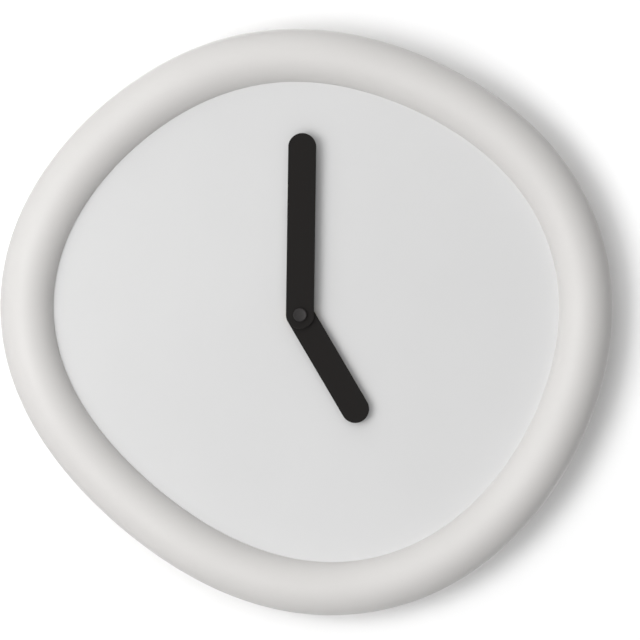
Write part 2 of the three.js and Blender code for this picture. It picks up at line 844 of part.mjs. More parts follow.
// Heights of the hands, each collet sitting just clear of the piece behind it
const hourHand = { colletBottom: bushTop + gap };
hourHand.back = hourHand.colletBottom + collet.flangeThickness + gap;
hourHand.front = hourHand.back + hands.thickness;
hourHand.colletTop = hourHand.front + gap;
hourHand.pipeTop = hourHand.colletTop + collet.pipeRise - gap;
const minuteHand = { colletBottom: hourHand.colletTop + 2 * gap };
minuteHand.back = minuteHand.colletBottom + collet.flangeThickness + gap;
minuteHand.front = minuteHand.back + hands.thickness;
minuteHand.capBottom = minuteHand.front + gap;
minuteHand.pipeTop = minuteHand.capBottom + cap.boreDepth - gap;

// Gears

// A gear outline with straight-sided teeth; the first tooth points at the given angle
function gearShape(at, count, module, turn) {
  const pitch = 360 / count;
  const root = (count / 2 - tooth.rootShare) * module;
  const tip = tipRadius(count, module);
  const corners = [
    [root, -tooth.rootWidthShare / 2],
    [tip, -tooth.tipWidthShare / 2],
    [tip, tooth.tipWidthShare / 2],
    [root, tooth.rootWidthShare / 2],
  ];
  const points = [];
  for (let i = 0; i < count; i += 1) {
    for (const [radius, share] of corners) points.push(polar(at, radius, turn + (i + share) * pitch));
  }
  return new THREE.Shape(points);
}

// The turn of a gear whose teeth stand in the gaps of the gear it meshes with
function meshingTurn(count, otherCount, otherTurn, direction) {
  const phase = (direction - otherTurn) / (360 / otherCount);
  return direction + 180 - (0.5 - phase) * (360 / count);
}

const arbor = (at) => rod(at, train.arborRadius, arborBottom, arborTop, finely.arbor);

// A wheel and the pinion in front of it, on one arbor
function wheelAndPinion(at, wheel, pinion, back, thickness, pinionTop) {
  const disc = gearShape(at, wheel.count, wheel.module, wheel.turn);
  const leaf = gearShape(at, pinion.count, pinion.module, pinion.turn);
  return joined(
    plate(disc, back, back + thickness),
    plate(leaf, back + thickness / 2, pinionTop),
    arbor(at),
  );
}

const turns = { centreWheel: 0, cannonPinion: 0 };
turns.thirdPinion = meshingTurn(teeth.thirdPinion, teeth.centreWheel, turns.centreWheel, trainAngles.third);
turns.thirdWheel = 0;
turns.secondPinion = meshingTurn(
  teeth.secondPinion,
  teeth.thirdWheel,
  turns.thirdWheel,
  trainAngles.third + 180,
);
turns.secondWheel = 0;
turns.intermediatePinion = meshingTurn(
  teeth.intermediatePinion,
  teeth.secondWheel,
  turns.secondWheel,
  trainAngles.intermediate,
);
turns.intermediateWheel = 0;
turns.rotorPinion = meshingTurn(
  teeth.rotorPinion,
  teeth.intermediateWheel,
  turns.intermediateWheel,
  trainAngles.rotor,
);
turns.minuteWheel = meshingTurn(
  teeth.minuteWheel,
  teeth.cannonPinion,
  turns.cannonPinion,
  trainAngles.minute,
);
turns.minutePinion = 0;
turns.hourWheel = meshingTurn(
  teeth.hourWheel,
  teeth.minutePinion,
  turns.minutePinion,
  trainAngles.minute + 180,
);
turns.settingPinion = meshingTurn(
  teeth.settingPinion,
  teeth.minuteWheel,
  turns.minuteWheel,
  trainAngles.minute,
);

function rotor() {
  const leaf = gearShape(axes.rotor, teeth.rotorPinion, modules.rotor, turns.rotorPinion);
  const back = level(0);
  const magnetBack = statorBack - magnet.back;
  return joined(
    plate(leaf, back - gap / 2, back + train.wheelThickness + gap / 2),
    rod(axes.rotor, magnet.radius, magnetBack, statorBack + magnet.front, finely.round),
    arbor(axes.rotor),
  );
}

function intermediateWheel() {
  const wheel = { count: teeth.intermediateWheel, module: modules.rotor, turn: turns.intermediateWheel };
  const pinion = {
    count: teeth.intermediatePinion,
    module: modules.second,
    turn: turns.intermediatePinion,
  };
  const top = level(1) + train.wheelThickness + gap / 2;
  return wheelAndPinion(axes.intermediate, wheel, pinion, level(0), train.wheelThickness, top);
}

function secondWheel() {
  const wheel = { count: teeth.secondWheel, module: modules.second, turn: turns.secondWheel };
  const pinion = { count: teeth.secondPinion, module: modules.third, turn: turns.secondPinion };
  const back = level(1);
  const disc = gearShape(centre, wheel.count, wheel.module, wheel.turn);
  const leaf = gearShape(centre, pinion.count, pinion.module, pinion.turn);
  return joined(
    plate(disc, back, back + train.wheelThickness),
    plate(leaf, back + train.wheelThickness / 2, level(2) + train.wheelThickness),
    rod(centre, pipes.seconds, arborBottom, hourHand.front, finely.arbor),
  );
}

function thirdWheel() {
  const wheel = { count: teeth.thirdWheel, module: modules.third, turn: turns.thirdWheel };
  const pinion = { count: teeth.thirdPinion, module: modules.centre, turn: turns.thirdPinion };
  const top = level(3) + train.wheelThickness + gap / 2;
  return wheelAndPinion(axes.third, wheel, pinion, level(2), train.wheelThickness, top);
}

function centreWheel() {
  const disc = gearShape(centre, teeth.centreWheel, modules.centre, turns.centreWheel);
  const back = level(3);
  const front = back + train.wheelThickness;
  const bore = rod(centre, pipe.minute + runningGap, back - overrun, front + overrun);
  return cut(plate(disc, back, front), bore);
}

function minutePipe() {
  const leaf = gearShape(centre, teeth.cannonPinion, modules.minute, turns.cannonPinion);
  const shoulder = level(3) + train.wheelThickness + gap;
  const bottom = level(2) + train.wheelThickness + gap;
  const tubeSolid = rod(centre, pipe.minute, bottom, minuteHand.pipeTop);
  const body = joined(tubeSolid, plate(leaf, shoulder, minuteLevel + train.motionThickness + gap / 2));
  return cut(body, rod(centre, pipe.secondsBore, bottom - overrun, minuteHand.pipeTop + overrun));
}

function minuteWheel() {
  const wheel = { count: teeth.minuteWheel, module: modules.minute, turn: turns.minuteWheel };
  const pinion = { count: teeth.minutePinion, module: modules.hour, turn: turns.minutePinion };
  const top = hourTop + gap / 2;
  return wheelAndPinion(axes.minute, wheel, pinion, minuteLevel, train.motionThickness, top);
}

function hourWheel() {
  const disc = gearShape(centre, teeth.hourWheel, modules.hour, turns.hourWheel);
  const body = joined(
    plate(disc, hourLevel, hourTop),
    rod(centre, pipe.hour, hourLevel, hourHand.pipeTop, finely.round),
  );
  return cut(body, rod(centre, pipe.hourBore, hourLevel - overrun, hourHand.pipeTop + overrun));
}

function setKnob() {
  const leaf = gearShape(axes.setting, teeth.settingPinion, modules.minute, turns.settingPinion);
  const front = caseBack - knob.standOff;
  const back = front - knob.thickness;
  const pinionTop = minuteLevel + train.motionThickness + gap / 2;
  const disc = rod(axes.setting, knob.radius, back, front, finely.round);
  const flutes = Array.from({ length: knob.flutes }, (_, i) => {
    const at = polar(axes.setting, knob.radius, (360 * i) / knob.flutes);
    return rod(at, knob.fluteRadius, back - overrun, front + overrun, finely.arbor);
  });
  return joined(
    cut(disc, ...flutes),
    rod(axes.setting, knob.shaftRadius, front - bite, pinionTop),
    plate(leaf, minuteLevel - gap / 2, pinionTop),
    rod(axes.setting, train.arborRadius, pinionTop - bite, arborTop, finely.arbor),
  );
}

// Hands and cap

// A flat bar with round ends, from the axis to its tip, turned clockwise from twelve
function handSolid(length, clockAngle, back, hole) {
  const radius = hands.width / 2;
  const shape = new THREE.Shape();
  shape.absarc(0, 0, radius, Math.PI, 2 * Math.PI, false);
  shape.absarc(0, length - radius, radius, 0, Math.PI, false);
  const settings = { depth: hands.thickness, bevelEnabled: false, curveSegments: finely.tip };
  const geometry = new THREE.ExtrudeGeometry(shape, settings);
  geometry.translate(0, 0, back);
  geometry.rotateZ(-radians(clockAngle));
  const front = back + hands.thickness;
  return cut(solidOf(geometry), rod(centre, hole, back - overrun, front + overrun, finely.round));
}

// A flanged sleeve on a pipe; its neck fills the hand's hole
function colletSolid(bore, bottom, handBack, top) {
  const neck = bore + collet.neckWall;
  return turned(centre, [
    [bore, bottom],
    [collet.flange, bottom],
    [collet.flange, handBack - gap],
    [neck, handBack - gap],
    [neck, top],
    [bore, top],
  ]);
}

const hourBore = pipe.hour + runningGap;
const minuteBore = pipe.minute + runningGap;
const handHole = (bore) => bore + collet.neckWall + gap;

function centreCap() {
  const bottom = minuteHand.capBottom;
  return turned(centre, [
    [0, bottom + cap.boreDepth],
    [minuteBore, bottom + cap.boreDepth],
    [minuteBore, bottom],
    [cap.radius, bottom],
    [cap.radius, bottom + cap.thickness - gap],
    [cap.radius - gap, bottom + cap.thickness],
    [0, bottom + cap.thickness],
  ]);
}

// The whole clock

const clock = new THREE.Group();
clock.rotation.x = Math.PI / 2;

function add(name, solid, material) {
  const mesh = new THREE.Mesh(geometryOf(solid), material);
  mesh.name = name;
  clock.add(mesh);
}

add("rim_front", rimFront(), finishes.rim());
add("rim_back", rimBack(), finishes.rim());
add("dial", dialPlate(), finishes.dial());
screwPlaces.forEach((at, i) => add(`rim_screw_${i + 1}`, rimScrewSolid(at), finishes.steel()));
add("hanger_plate", hangerPlate(), finishes.steel());
hangerScrews.forEach((at, i) => add(`hanger_screw_${i + 1}`, hangerScrewSolid(at), finishes.steel()));

const neckClearance = bush.radius + gap;
add(
  "gasket",
  tube(centre, neckClearance, gasket.radius, gasketBottom, gasketBottom + gasket.thickness),
  finishes.rubber(),
);
add(
  "washer",
  tube(centre, neckClearance, washer.radius, washerBottom, washerBottom + washer.thickness),
  finishes.brass(),
);
add("hex_nut", hexNut(), finishes.brass());
add("threaded_bush", threadedBush(), finishes.brass());
add("movement_case", movementCase(), finishes.casing());
add("movement_cover", movementCover(), finishes.casing());
add("battery", batteryCell(), finishes.battery());
add("contact_positive", batteryContact(-1), finishes.steel());
add("contact_negative", batteryContact(1), finishes.steel());
add("circuit_board", circuitBoard(), finishes.board());
add("chip_cover", chipCover(), finishes.rubber());
add("quartz_crystal", quartzCrystal(), finishes.steel());
add("stator", statorPlate(), finishes.steel());
add("coil_core", coilCore(), finishes.steel());
add("coil_bobbin", coilBobbin(), finishes.wheel());
add("coil_winding", coilWinding(), finishes.copper());
add("rotor", rotor(), finishes.wheel());
add("intermediate_wheel", intermediateWheel(), finishes.wheel());
add("second_wheel", secondWheel(), finishes.wheel());
add("third_wheel", thirdWheel(), finishes.wheel());
add("centre_wheel", centreWheel(), finishes.wheel());
add("minute_pipe", minutePipe(), finishes.wheel());
add("minute_wheel", minuteWheel(), finishes.wheel());
add("hour_wheel", hourWheel(), finishes.wheel());
add("set_knob", setKnob(), finishes.wheel());
add(
  "hour_collet",
  colletSolid(hourBore, hourHand.colletBottom, hourHand.back, hourHand.colletTop),
  finishes.brass(),
);
add(
  "hour_hand",
  handSolid(hands.hourLength, hands.hourAngle, hourHand.back, handHole(hourBore)),
  finishes.hand(),
);
add(
  "minute_collet",
  colletSolid(minuteBore, minuteHand.colletBottom, minuteHand.back, minuteHand.front),
  finishes.brass(),
);
add(
  "minute_hand",
  handSolid(hands.minuteLength, hands.minuteAngle, minuteHand.back, handHole(minuteBore)),
  finishes.hand(),
);
add("centre_cap", centreCap(), finishes.cap());

export default clock;
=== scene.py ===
"""A wall clock with a softly lobed round rim, a bare pale dial and two flat black hands.

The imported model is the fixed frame. The pieces that show are modelled again with smooth surfaces
and stand in the places of the plain ones, and every piece and node gets its finish here. Sizes are
millimetres. In a section, the first number is the distance from the axis or from the outer edge
inwards, and the second is the height over the wall, which runs along -Y.
"""

import logging
import math
from collections.abc import Callable, Iterator, Sequence
from contextlib import contextmanager
from dataclasses import dataclass, field
from enum import Enum
from functools import cache

import bpy
from mathutils import Matrix, Vector


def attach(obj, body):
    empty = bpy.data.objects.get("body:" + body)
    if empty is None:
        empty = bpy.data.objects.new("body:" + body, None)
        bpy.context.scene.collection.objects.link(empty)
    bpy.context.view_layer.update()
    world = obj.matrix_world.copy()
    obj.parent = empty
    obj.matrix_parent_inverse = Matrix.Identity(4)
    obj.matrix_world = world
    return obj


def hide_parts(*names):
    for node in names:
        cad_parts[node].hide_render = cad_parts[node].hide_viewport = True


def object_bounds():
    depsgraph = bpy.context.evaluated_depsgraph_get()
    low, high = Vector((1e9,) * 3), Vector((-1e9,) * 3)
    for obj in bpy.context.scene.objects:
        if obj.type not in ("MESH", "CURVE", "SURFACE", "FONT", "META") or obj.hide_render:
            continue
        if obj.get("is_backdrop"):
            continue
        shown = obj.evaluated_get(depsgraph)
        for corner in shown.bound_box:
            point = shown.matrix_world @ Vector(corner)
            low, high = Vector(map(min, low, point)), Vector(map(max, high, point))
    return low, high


log = logging.getLogger("clock")
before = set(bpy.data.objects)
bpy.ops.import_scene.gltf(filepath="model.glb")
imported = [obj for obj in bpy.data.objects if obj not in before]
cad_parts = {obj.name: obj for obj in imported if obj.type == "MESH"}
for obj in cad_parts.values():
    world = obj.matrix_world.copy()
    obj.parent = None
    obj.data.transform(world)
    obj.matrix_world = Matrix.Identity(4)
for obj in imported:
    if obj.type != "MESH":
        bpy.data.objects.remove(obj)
cad_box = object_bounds()

MM = 0.001
Place = tuple[float, float]
Point = tuple[float, float, float]
Section = Sequence[Place]
Colour = tuple[float, float, float, float]
Sockets = dict[str | int, object]
Piece = bpy.types.Object
Material = bpy.types.Material
AXIS: Place = (0.0, 0.0)
UPRIGHT: Point = (math.pi / 2, 0.0, 0.0)
HANGER_SCREWS: tuple[Place, Place] = ((-12.4, 122.02), (23.6, 122.02))
HANGER_HOLE = 1.5
# How far a cutting tool runs past the solid that it cuts.
OVERRUN = 1.0


# Shader graphs


class Value:
    """A socket whose arithmetic writes Math nodes."""

    def __init__(self, graph: "Graph", socket: bpy.types.NodeSocket | None) -> None:
        """Wraps an output socket of a graph, or none where a node has no output."""
        self.graph = graph
        self.socket = socket

    def _math(self, operation: str, first: "Value | float", second: "Value | float") -> "Value":
        """Adds one Math node and gives its result."""
        return self.graph.node("ShaderNodeMath", {"operation": operation}, {0: first, 1: second})

    def __add__(self, other: "Value | float") -> "Value":
        """Adds."""
        return self._math("ADD", self, other)

    def __radd__(self, other: float) -> "Value":
        """Adds to a plain number."""
        return self._math("ADD", other, self)

    def __sub__(self, other: "Value | float") -> "Value":
        """Subtracts."""
        return self._math("SUBTRACT", self, other)

    def __rsub__(self, other: float) -> "Value":
        """Subtracts from a plain number."""
        return self._math("SUBTRACT", other, self)

    def __mul__(self, other: "Value | float") -> "Value":
        """Multiplies."""
        return self._math("MULTIPLY", self, other)

    def __rmul__(self, other: float) -> "Value":
        """Multiplies a plain number."""
        return self._math("MULTIPLY", other, self)

    def __gt__(self, other: "Value | float") -> "Value":
        """Gives 1 where it is the greater."""
        return self._math("GREATER_THAN", self, other)

    def __lt__(self, other: "Value | float") -> "Value":
        """Gives 1 where it is the smaller."""
        return self._math("LESS_THAN", self, other)

    def __abs__(self) -> "Value":
        """Drops the sign."""
        return self._math("ABSOLUTE", self, 0.0)

    def __pow__(self, other: float) -> "Value":
        """Raises to a power."""
        return self._math("POWER", self, other)

    def ramp(self, low: float, high: float) -> "Value":
        """Rises smoothly from 0 at and before low to 1 at and past high."""
        sockets = {"Value": self, "From Min": low, "From Max": high}
        return self.graph.node("ShaderNodeMapRange", {"interpolation_type": "SMOOTHSTEP"}, sockets)


def colour(code: int) -> Colour:
    """Turns a written colour into the linear one that the shaders take.

    Args:
        code: The colour as 0xRRGGBB.

    Returns:
        Red, green, blue and 1.
    """
    parts = [((code >> shift) & 255) / 255 for shift in (16, 8, 0)]
    red, green, blue = (p / 12.92 if p <= 0.04045 else ((p + 0.055) / 1.055) ** 2.4 for p in parts)
    return (red, green, blue, 1.0)


def shaded(base: Colour, factor: float) -> Colour:
    """Makes a linear colour darker, or lighter up to white."""
    red, green, blue = (min(1.0, part * factor) for part in base[:3])
    return (red, green, blue, 1.0)


class Graph:
    """The nodes of one material or of the world."""

    def __init__(self, owner: Material | bpy.types.World) -> None:
        """Starts an empty graph.

        Args:
            owner: The new material or world that the nodes belong to.
        """
        owner.use_nodes = True
        self.owner = owner
        self.tree = owner.node_tree
        self.tree.nodes.clear()

    def node(
        self,
        kind: str,
        settings: dict[str, object] | None = None,
        sockets: Sockets | None = None,
        output: str | int = 0,
    ) -> Value:
        """Adds any node.

        Args:
            kind: The node's type.
            settings: Its properties, set before its sockets.
            sockets: Values or links for its input sockets, by name or number.
            output: The output that is wanted.

        Returns:
            That output.
        """
        made = self.tree.nodes.new(kind)
        for key, setting in (settings or {}).items():
            setattr(made, key, setting)
        for key, value in (sockets or {}).items():
            if isinstance(value, Value):
                self.tree.links.new(value.socket, made.inputs[key])
            else:
                made.inputs[key].default_value = value
        return Value(self, made.outputs[output] if made.outputs else None)

    def place(self, centre: Point = (0.0, 0.0, 0.0)) -> Value:
        """Gives the point on the piece, from a centre, in metres."""
        spot = self.node("ShaderNodeTexCoord", output="Object")
        return self.node("ShaderNodeVectorMath", {"operation": "SUBTRACT"}, {0: spot, 1: centre})

    def turned(self, vector: Value, angle: float) -> Value:
        """Turns a vector about Y by an angle in radians."""
        sockets = {"Vector": vector, "Axis": (0.0, 1.0, 0.0), "Angle": angle}
        return self.node("ShaderNodeVectorRotate", {"rotation_type": "AXIS_ANGLE"}, sockets)

    def parts(self, vector: Value) -> tuple[Value, ...]:
        """Splits a vector in its x, y and z."""
        split = self.node("ShaderNodeSeparateXYZ", sockets={0: vector}).socket.node
        return tuple(Value(self, output) for output in split.outputs)

    def stretched(self, vector: Value, by: Point) -> Value:
        """Scales a vector along x, y and z."""
        return self.node("ShaderNodeVectorMath", {"operation": "MULTIPLY"}, {0: vector, 1: by})

    def noise(self, vector: Value, scale: float, detail: float = 3.0, rough: float = 0.55) -> Value:
        """Adds a noise pattern of scale waves a metre, about 0.5 on average."""
        sockets = {"Vector": vector, "Scale": scale, "Detail": detail, "Roughness": rough}
        return self.node("ShaderNodeTexNoise", sockets=sockets)

    def mix(self, share: Value, first: Value | Colour, second: Value | Colour) -> Value:
        """Mixes two colours by the second one's share."""
        sockets = {"Factor": share, 6: first, 7: second}
        return self.node("ShaderNodeMix", {"data_type": "RGBA"}, sockets, 2)

    def bump(self, height: Value, depth: float) -> Value:
        """Turns a pattern into a normal, its height of 1 standing for a depth in millimetres."""
        return self.node("ShaderNodeBump", sockets={"Height": height, "Distance": depth * MM})

    def seen(self) -> Value:
        """Gives 1 to the rays that show the backdrop: the camera's and those of gloss and glass."""
        rays = ("Is Camera Ray", "Is Glossy Ray", "Is Transmission Ray")
        return sum(self.node("ShaderNodeLightPath", output=ray) for ray in rays)

    def finish(self, sockets: Sockets) -> Material:
        """Closes the graph with a Principled shader.

        Args:
            sockets: Values and links for the shader.

        Returns:
            The material.
        """
        shader = self.node("ShaderNodeBsdfPrincipled", sockets=sockets)
        self.node("ShaderNodeOutputMaterial", sockets={"Surface": shader})
        return self.owner


# Finishes


@dataclass(frozen=True)
class Moulding:
    """Moulded plastic with a fine matt grain, faint flow clouds and a dusting of wear."""

    name: str
    shade: int
    roughness: float = 0.5
    grain: float = 900.0
    depth: float = 0.012
    clouds: float = 0.02
    specular: float = 0.4
    wear: float = 0.35

    def material(self) -> Material:
        """Builds the material.

        Returns:
            The material.
        """
        g = Graph(bpy.data.materials.new(self.name))
        spot = g.place()
        cloud = g.noise(spot, 14.0, 4.0)
        grain = g.noise(spot, self.grain, 2.0, 0.6)
        speck = g.noise(spot, 260.0, 5.0, 0.7).ramp(0.62, 0.74)
        base = colour(self.shade)
        tone = g.mix(cloud.ramp(0.3, 0.7), shaded(base, 1 + self.clouds), base)
        return g.finish({
            "Base Color": g.mix(speck * self.wear, tone, shaded(base, 1 - 3 * self.clouds)),
            "Roughness": self.roughness + (cloud - 0.5) * 0.16 + (grain - 0.5) * 0.1,
            "Specular IOR Level": self.specular,
            "Normal": g.bump(grain + cloud * 0.6, self.depth),
        })


@dataclass(frozen=True)
class DialFace:
    """The painted dial: even and matt, with the faint orange peel of sprayed paint."""

    name: str = "dial_face"
    shade: int = 0xD6D6D6
    cool: float = 0.985
    flecked: float = 0.93
    roughness: float = 0.55
    specular: float = 0.35
    depth: float = 0.01

    def material(self) -> Material:
        """Builds the material.

        Returns:
            The material.
        """
        g = Graph(bpy.data.materials.new(self.name))
        spot = g.place()
        peel = g.noise(spot, 420.0, 2.0, 0.5)
        cloud = g.noise(spot, 9.0, 3.0)
        fleck = g.noise(spot, 1500.0, 2.0, 0.6).ramp(0.66, 0.78)
        base = colour(self.shade)
        tone = g.mix(cloud.ramp(0.35, 0.65), base, shaded(base, self.cool))
        return g.finish({
            "Base Color": g.mix(fleck * 0.4, tone, shaded(base, self.flecked)),
            "Roughness": self.roughness + (cloud - 0.5) * 0.1,
            "Specular IOR Level": self.specular,
            "Normal": g.bump(peel + fleck * 0.2, self.depth),
        })


@dataclass(frozen=True)
class HandLacquer:
    """Black lacquer on a stamped hand, worn a little along its edges."""

    name: str
    reach: float
    half_width: float
    angle: float
    shade: int = 0x191716
    cloudy: int = 0x1D1A19
    worn: int = 0x4A4846
    roughness: float = 0.58
    specular: float = 0.08
    depth: float = 0.004

    def material(self) -> Material:
        """Builds the material, with the edge found from the bar's own outline.

        Returns:
            The material.
        """
        g = Graph(bpy.data.materials.new(self.name))
        spot = g.turned(g.place(), math.radians(-self.angle))
        x, _, z = g.parts(spot)
        top = (self.reach - self.half_width) * MM
        off = z - g.node("ShaderNodeClamp", sockets={"Value": z, "Min": 0.0, "Max": top})
        across = (x * x + off * off) ** 0.5
        edge = across.ramp((self.half_width - 0.7) * MM, (self.half_width - 0.05) * MM)
        wear = edge * g.noise(spot, 120.0, 5.0, 0.65).ramp(0.42, 0.62)
        brushed = g.noise(g.stretched(spot, (1.0, 1.0, 0.06)), 2600.0, 2.0, 0.5)
        cloud = g.noise(spot, 30.0, 4.0)
        tone = g.mix(cloud.ramp(0.35, 0.7) * 0.3, colour(self.shade), colour(self.cloudy))
        return g.finish({
            "Base Color": g.mix(wear * 0.45, tone, colour(self.worn)),
            "Roughness": self.roughness + (cloud - 0.5) * 0.1 - wear * 0.08,
            "Specular IOR Level": self.specular,
            "Normal": g.bump(brushed, self.depth),
        })


@dataclass(frozen=True)
class Metal:
    """Bare or plated metal, brushed one way, with fine scratches and dull patches."""

    name: str
    shade: int
    dull: int
    roughness: float = 0.34
    brush: Point = (0.05, 1.0, 1.0)
    metallic: float = 0.95
    specular: float = 0.5
    depth: float = 0.004

    def material(self) -> Material:
        """Builds the material.

        Returns:
            The material.
        """
        g = Graph(bpy.data.materials.new(self.name))
        spot = g.place()
        lines = g.noise(g.stretched(spot, self.brush), 3200.0, 3.0, 0.6)
        patch = g.noise(spot, 150.0, 5.0, 0.6)
        scratch = g.noise(g.stretched(spot, (1.0, 1.0, 0.03)), 1400.0, 2.0, 0.4).ramp(0.68, 0.72)
        return g.finish({
            "Base Color": g.mix(patch.ramp(0.35, 0.75), colour(self.shade), colour(self.dull)),
            "Metallic": self.metallic - patch.ramp(0.55, 0.8) * 0.08,
            "Roughness": self.roughness + (patch - 0.5) * 0.14 + (lines - 0.5) * 0.12,
            "Specular IOR Level": self.specular,
            "Normal": g.bump(lines + scratch * -0.8, self.depth),
        })


@dataclass(frozen=True)
class Winding:
    """Fine enamelled wire laid in turns along the coil."""

    name: str = "coil_wire"
    shade: int = 0xA5552C
    dark: int = 0x7C3A1C
    pitch: float = 0.22
    depth: float = 0.06

    def material(self) -> Material:
        """Builds the material.

        Returns:
            The material.
        """
        g = Graph(bpy.data.materials.new(self.name))
        spot = g.place()
        _, _, z = g.parts(spot)
        turns = g.node("ShaderNodeMath", {"operation": "SINE"}, {0: z * (math.tau / (self.pitch * MM))})
        tint = g.noise(spot, 700.0)
        return g.finish({
            "Base Color": g.mix(tint.ramp(0.35, 0.65), colour(self.shade), colour(self.dark)),
            "Metallic": 0.75,
            "Roughness": 0.36 + (tint - 0.5) * 0.2,
            "Normal": g.bump(turns * 0.5 + 0.5, self.depth),
        })


@dataclass(frozen=True)
class Laminate:
    """Green circuit board with raised tracks under the lacquer."""

    name: str = "board_laminate"
    shade: int = 0x1F5430
    track: int = 0x3D8350
    depth: float = 0.035

    def material(self) -> Material:
        """Builds the material.

        Returns:
            The material.
        """
        g = Graph(bpy.data.materials.new(self.name))
        spot = g.place()
        bricks = {"Vector": spot, "Scale": 260.0, "Mortar Size": 0.08, "Mortar Smooth": 0.3}
        cell = g.node("ShaderNodeTexBrick", {"offset": 0.5, "squash": 1.0}, bricks, "Fac")
        weave = g.noise(spot, 2400.0, 2.0)
        return g.finish({
            "Base Color": g.mix(cell, colour(self.shade), colour(self.track)),
            "Roughness": 0.4 + (weave - 0.5) * 0.2,
            "Normal": g.bump(cell + weave * 0.2, self.depth),
        })


@dataclass(frozen=True)
class CellSleeve:
    """The plain film round a battery: a slate body, a pale band and bright steel ends."""

    name: str = "cell_sleeve"
    end: float = 24.3
    band: float = 9.0
    line_at: float = 0.8
    line_half: float = 0.3
    slate: int = 0x5D6A78
    pale: int = 0xD5D8DA
    dark: int = 0x2B3038
    scuffed: int = 0x8B8D8F
    steel: int = 0xB9BCBE
    depth: float = 0.01

    def material(self) -> Material:
        """Builds the material, its colours set by the place along the cell.

        Returns:
            The material.
        """
        g = Graph(bpy.data.materials.new(self.name))
        spot = g.place()
        x, _, _ = g.parts(spot)
        banded = x < (-self.end + self.band) * MM
        steel = abs(x) > self.end * MM
        line = abs(x + (self.end - self.band - self.line_at) * MM) < self.line_half * MM
        scuff = g.noise(g.stretched(spot, (0.2, 1.0, 1.0)), 420.0, 5.0, 0.65)
        film = g.mix(banded, colour(self.slate), colour(self.pale))
        lined = g.mix(line, film, colour(self.dark))
        worn = g.mix(scuff.ramp(0.56, 0.72) * 0.25, lined, colour(self.scuffed))
        return g.finish({
            "Base Color": g.mix(steel, worn, colour(self.steel)),
            "Metallic": 0.35 + steel * 0.6,
            "Roughness": 0.32 + (scuff - 0.5) * 0.25,
            "Normal": g.bump(scuff, self.depth),
        })


@dataclass(frozen=True)
class Wall:
    """The white wall. Seen from behind it is clear, and lamps behind the clock shine through it."""

    name: str = "wall_paint"
    glow: float = 0.5
    bounce: float = 0.75
    centre: Point = (0.012, 0.0, 0.0)
    near: Place = (0.168, 0.192)
    far: Place = (0.22, 0.8)
    near_share: float = 0.3

    def material(self) -> Material:
        """Builds the material, whose glow grows away from the clock in two steps.

        Returns:
            The material.
        """
        g = Graph(bpy.data.materials.new(self.name))
        seen = g.seen()
        behind = g.node("ShaderNodeNewGeometry", output="Backfacing")
        clear = behind + g.node("ShaderNodeLightPath", output="Is Shadow Ray")
        # Painted light: the camera sees a glow over the wall that is nil close to the clock and grows
        # outwards from a centre 12 mm right of the axis, so it lightens the wall's shade beside the clock
        # less on the right, where the shadow falls, than on its other sides.
        x, _, z = g.parts(g.place(self.centre))
        reach = (x * x + z * z) ** 0.5
        away = reach.ramp(*self.near) * self.near_share + reach.ramp(*self.far) * (1 - self.near_share)
        plaster = g.noise(g.place(), 60.0)
        shown = g.mix(plaster, (0.97, 0.97, 0.97, 1.0), (0.98, 0.98, 0.98, 1.0))
        # The wall hands on less light than it shows, bounce 0.75 against about 0.97 to the camera, which
        # deepens the shade on the clock's sides and in its shadow.
        lit = (self.bounce, self.bounce, self.bounce, 1.0)
        sockets = {
            "Base Color": g.mix(seen, lit, shown),
            "Roughness": 0.9,
            "Specular IOR Level": 0.1,
            "Emission Color": g.mix(seen * away, (0, 0, 0, 1), (1, 1, 1, 1)),
            "Emission Strength": self.glow,
        }
        paint = g.node("ShaderNodeBsdfPrincipled", sockets=sockets)
        none = g.node("ShaderNodeBsdfTransparent")
        mixed = g.node("ShaderNodeMixShader", sockets={0: clear, 1: paint, 2: none})
        g.node("ShaderNodeOutputMaterial", sockets={"Surface": mixed})
        return g.owner


LOOKS = {
    "rim": Moulding("rim_plastic", 0xD5D3D1),
    "casing": Moulding("case_plastic", 0x1D1D1E, grain=1200.0, depth=0.03, clouds=0.08),
    "wheel": Moulding("wheel_plastic", 0xE9E4D2, roughness=0.42, grain=1600.0, depth=0.006),
    "rubber": Moulding("gasket_rubber", 0x202020, 0.8, 1400.0, 0.02, clouds=0.1, specular=0.2),
    "cap": Metal("cap_metal", 0x262424, 0x201E1E, 0.5, (1.0, 1.0, 1.0), 0.3, specular=0.24),
    "steel": Metal("plated_steel", 0xC6C8CA, 0xB4B6B8),
    "brass": Metal("turned_brass", 0xC8A352, 0xA68238, roughness=0.3),
    "dial": DialFace(),
    "copper": Winding(),
    "board": Laminate(),
    "battery": CellSleeve(),
}


@cache
def finish(slot: str) -> Material:
    """Builds the material of one of the record's slots, once."""
    return LOOKS[slot].material()


# Modelling


class Part(Enum):
    """What a selection picks: corners or edges."""

    CORNERS = ("VERT", "vertices")
    EDGES = ("EDGE", "edges")


class Joint(Enum):
    """How one solid is worked into another."""

    CUT = "DIFFERENCE"
    WELD = "UNION"
    KEEP = "INTERSECT"


def choose(piece: Piece) -> None:
    """Makes one piece the only one selected, and active.

    Args:
        piece: The piece.
    """
    bpy.ops.object.select_all(action="DESELECT")
    piece.select_set(True)
    bpy.context.view_layer.objects.active = piece


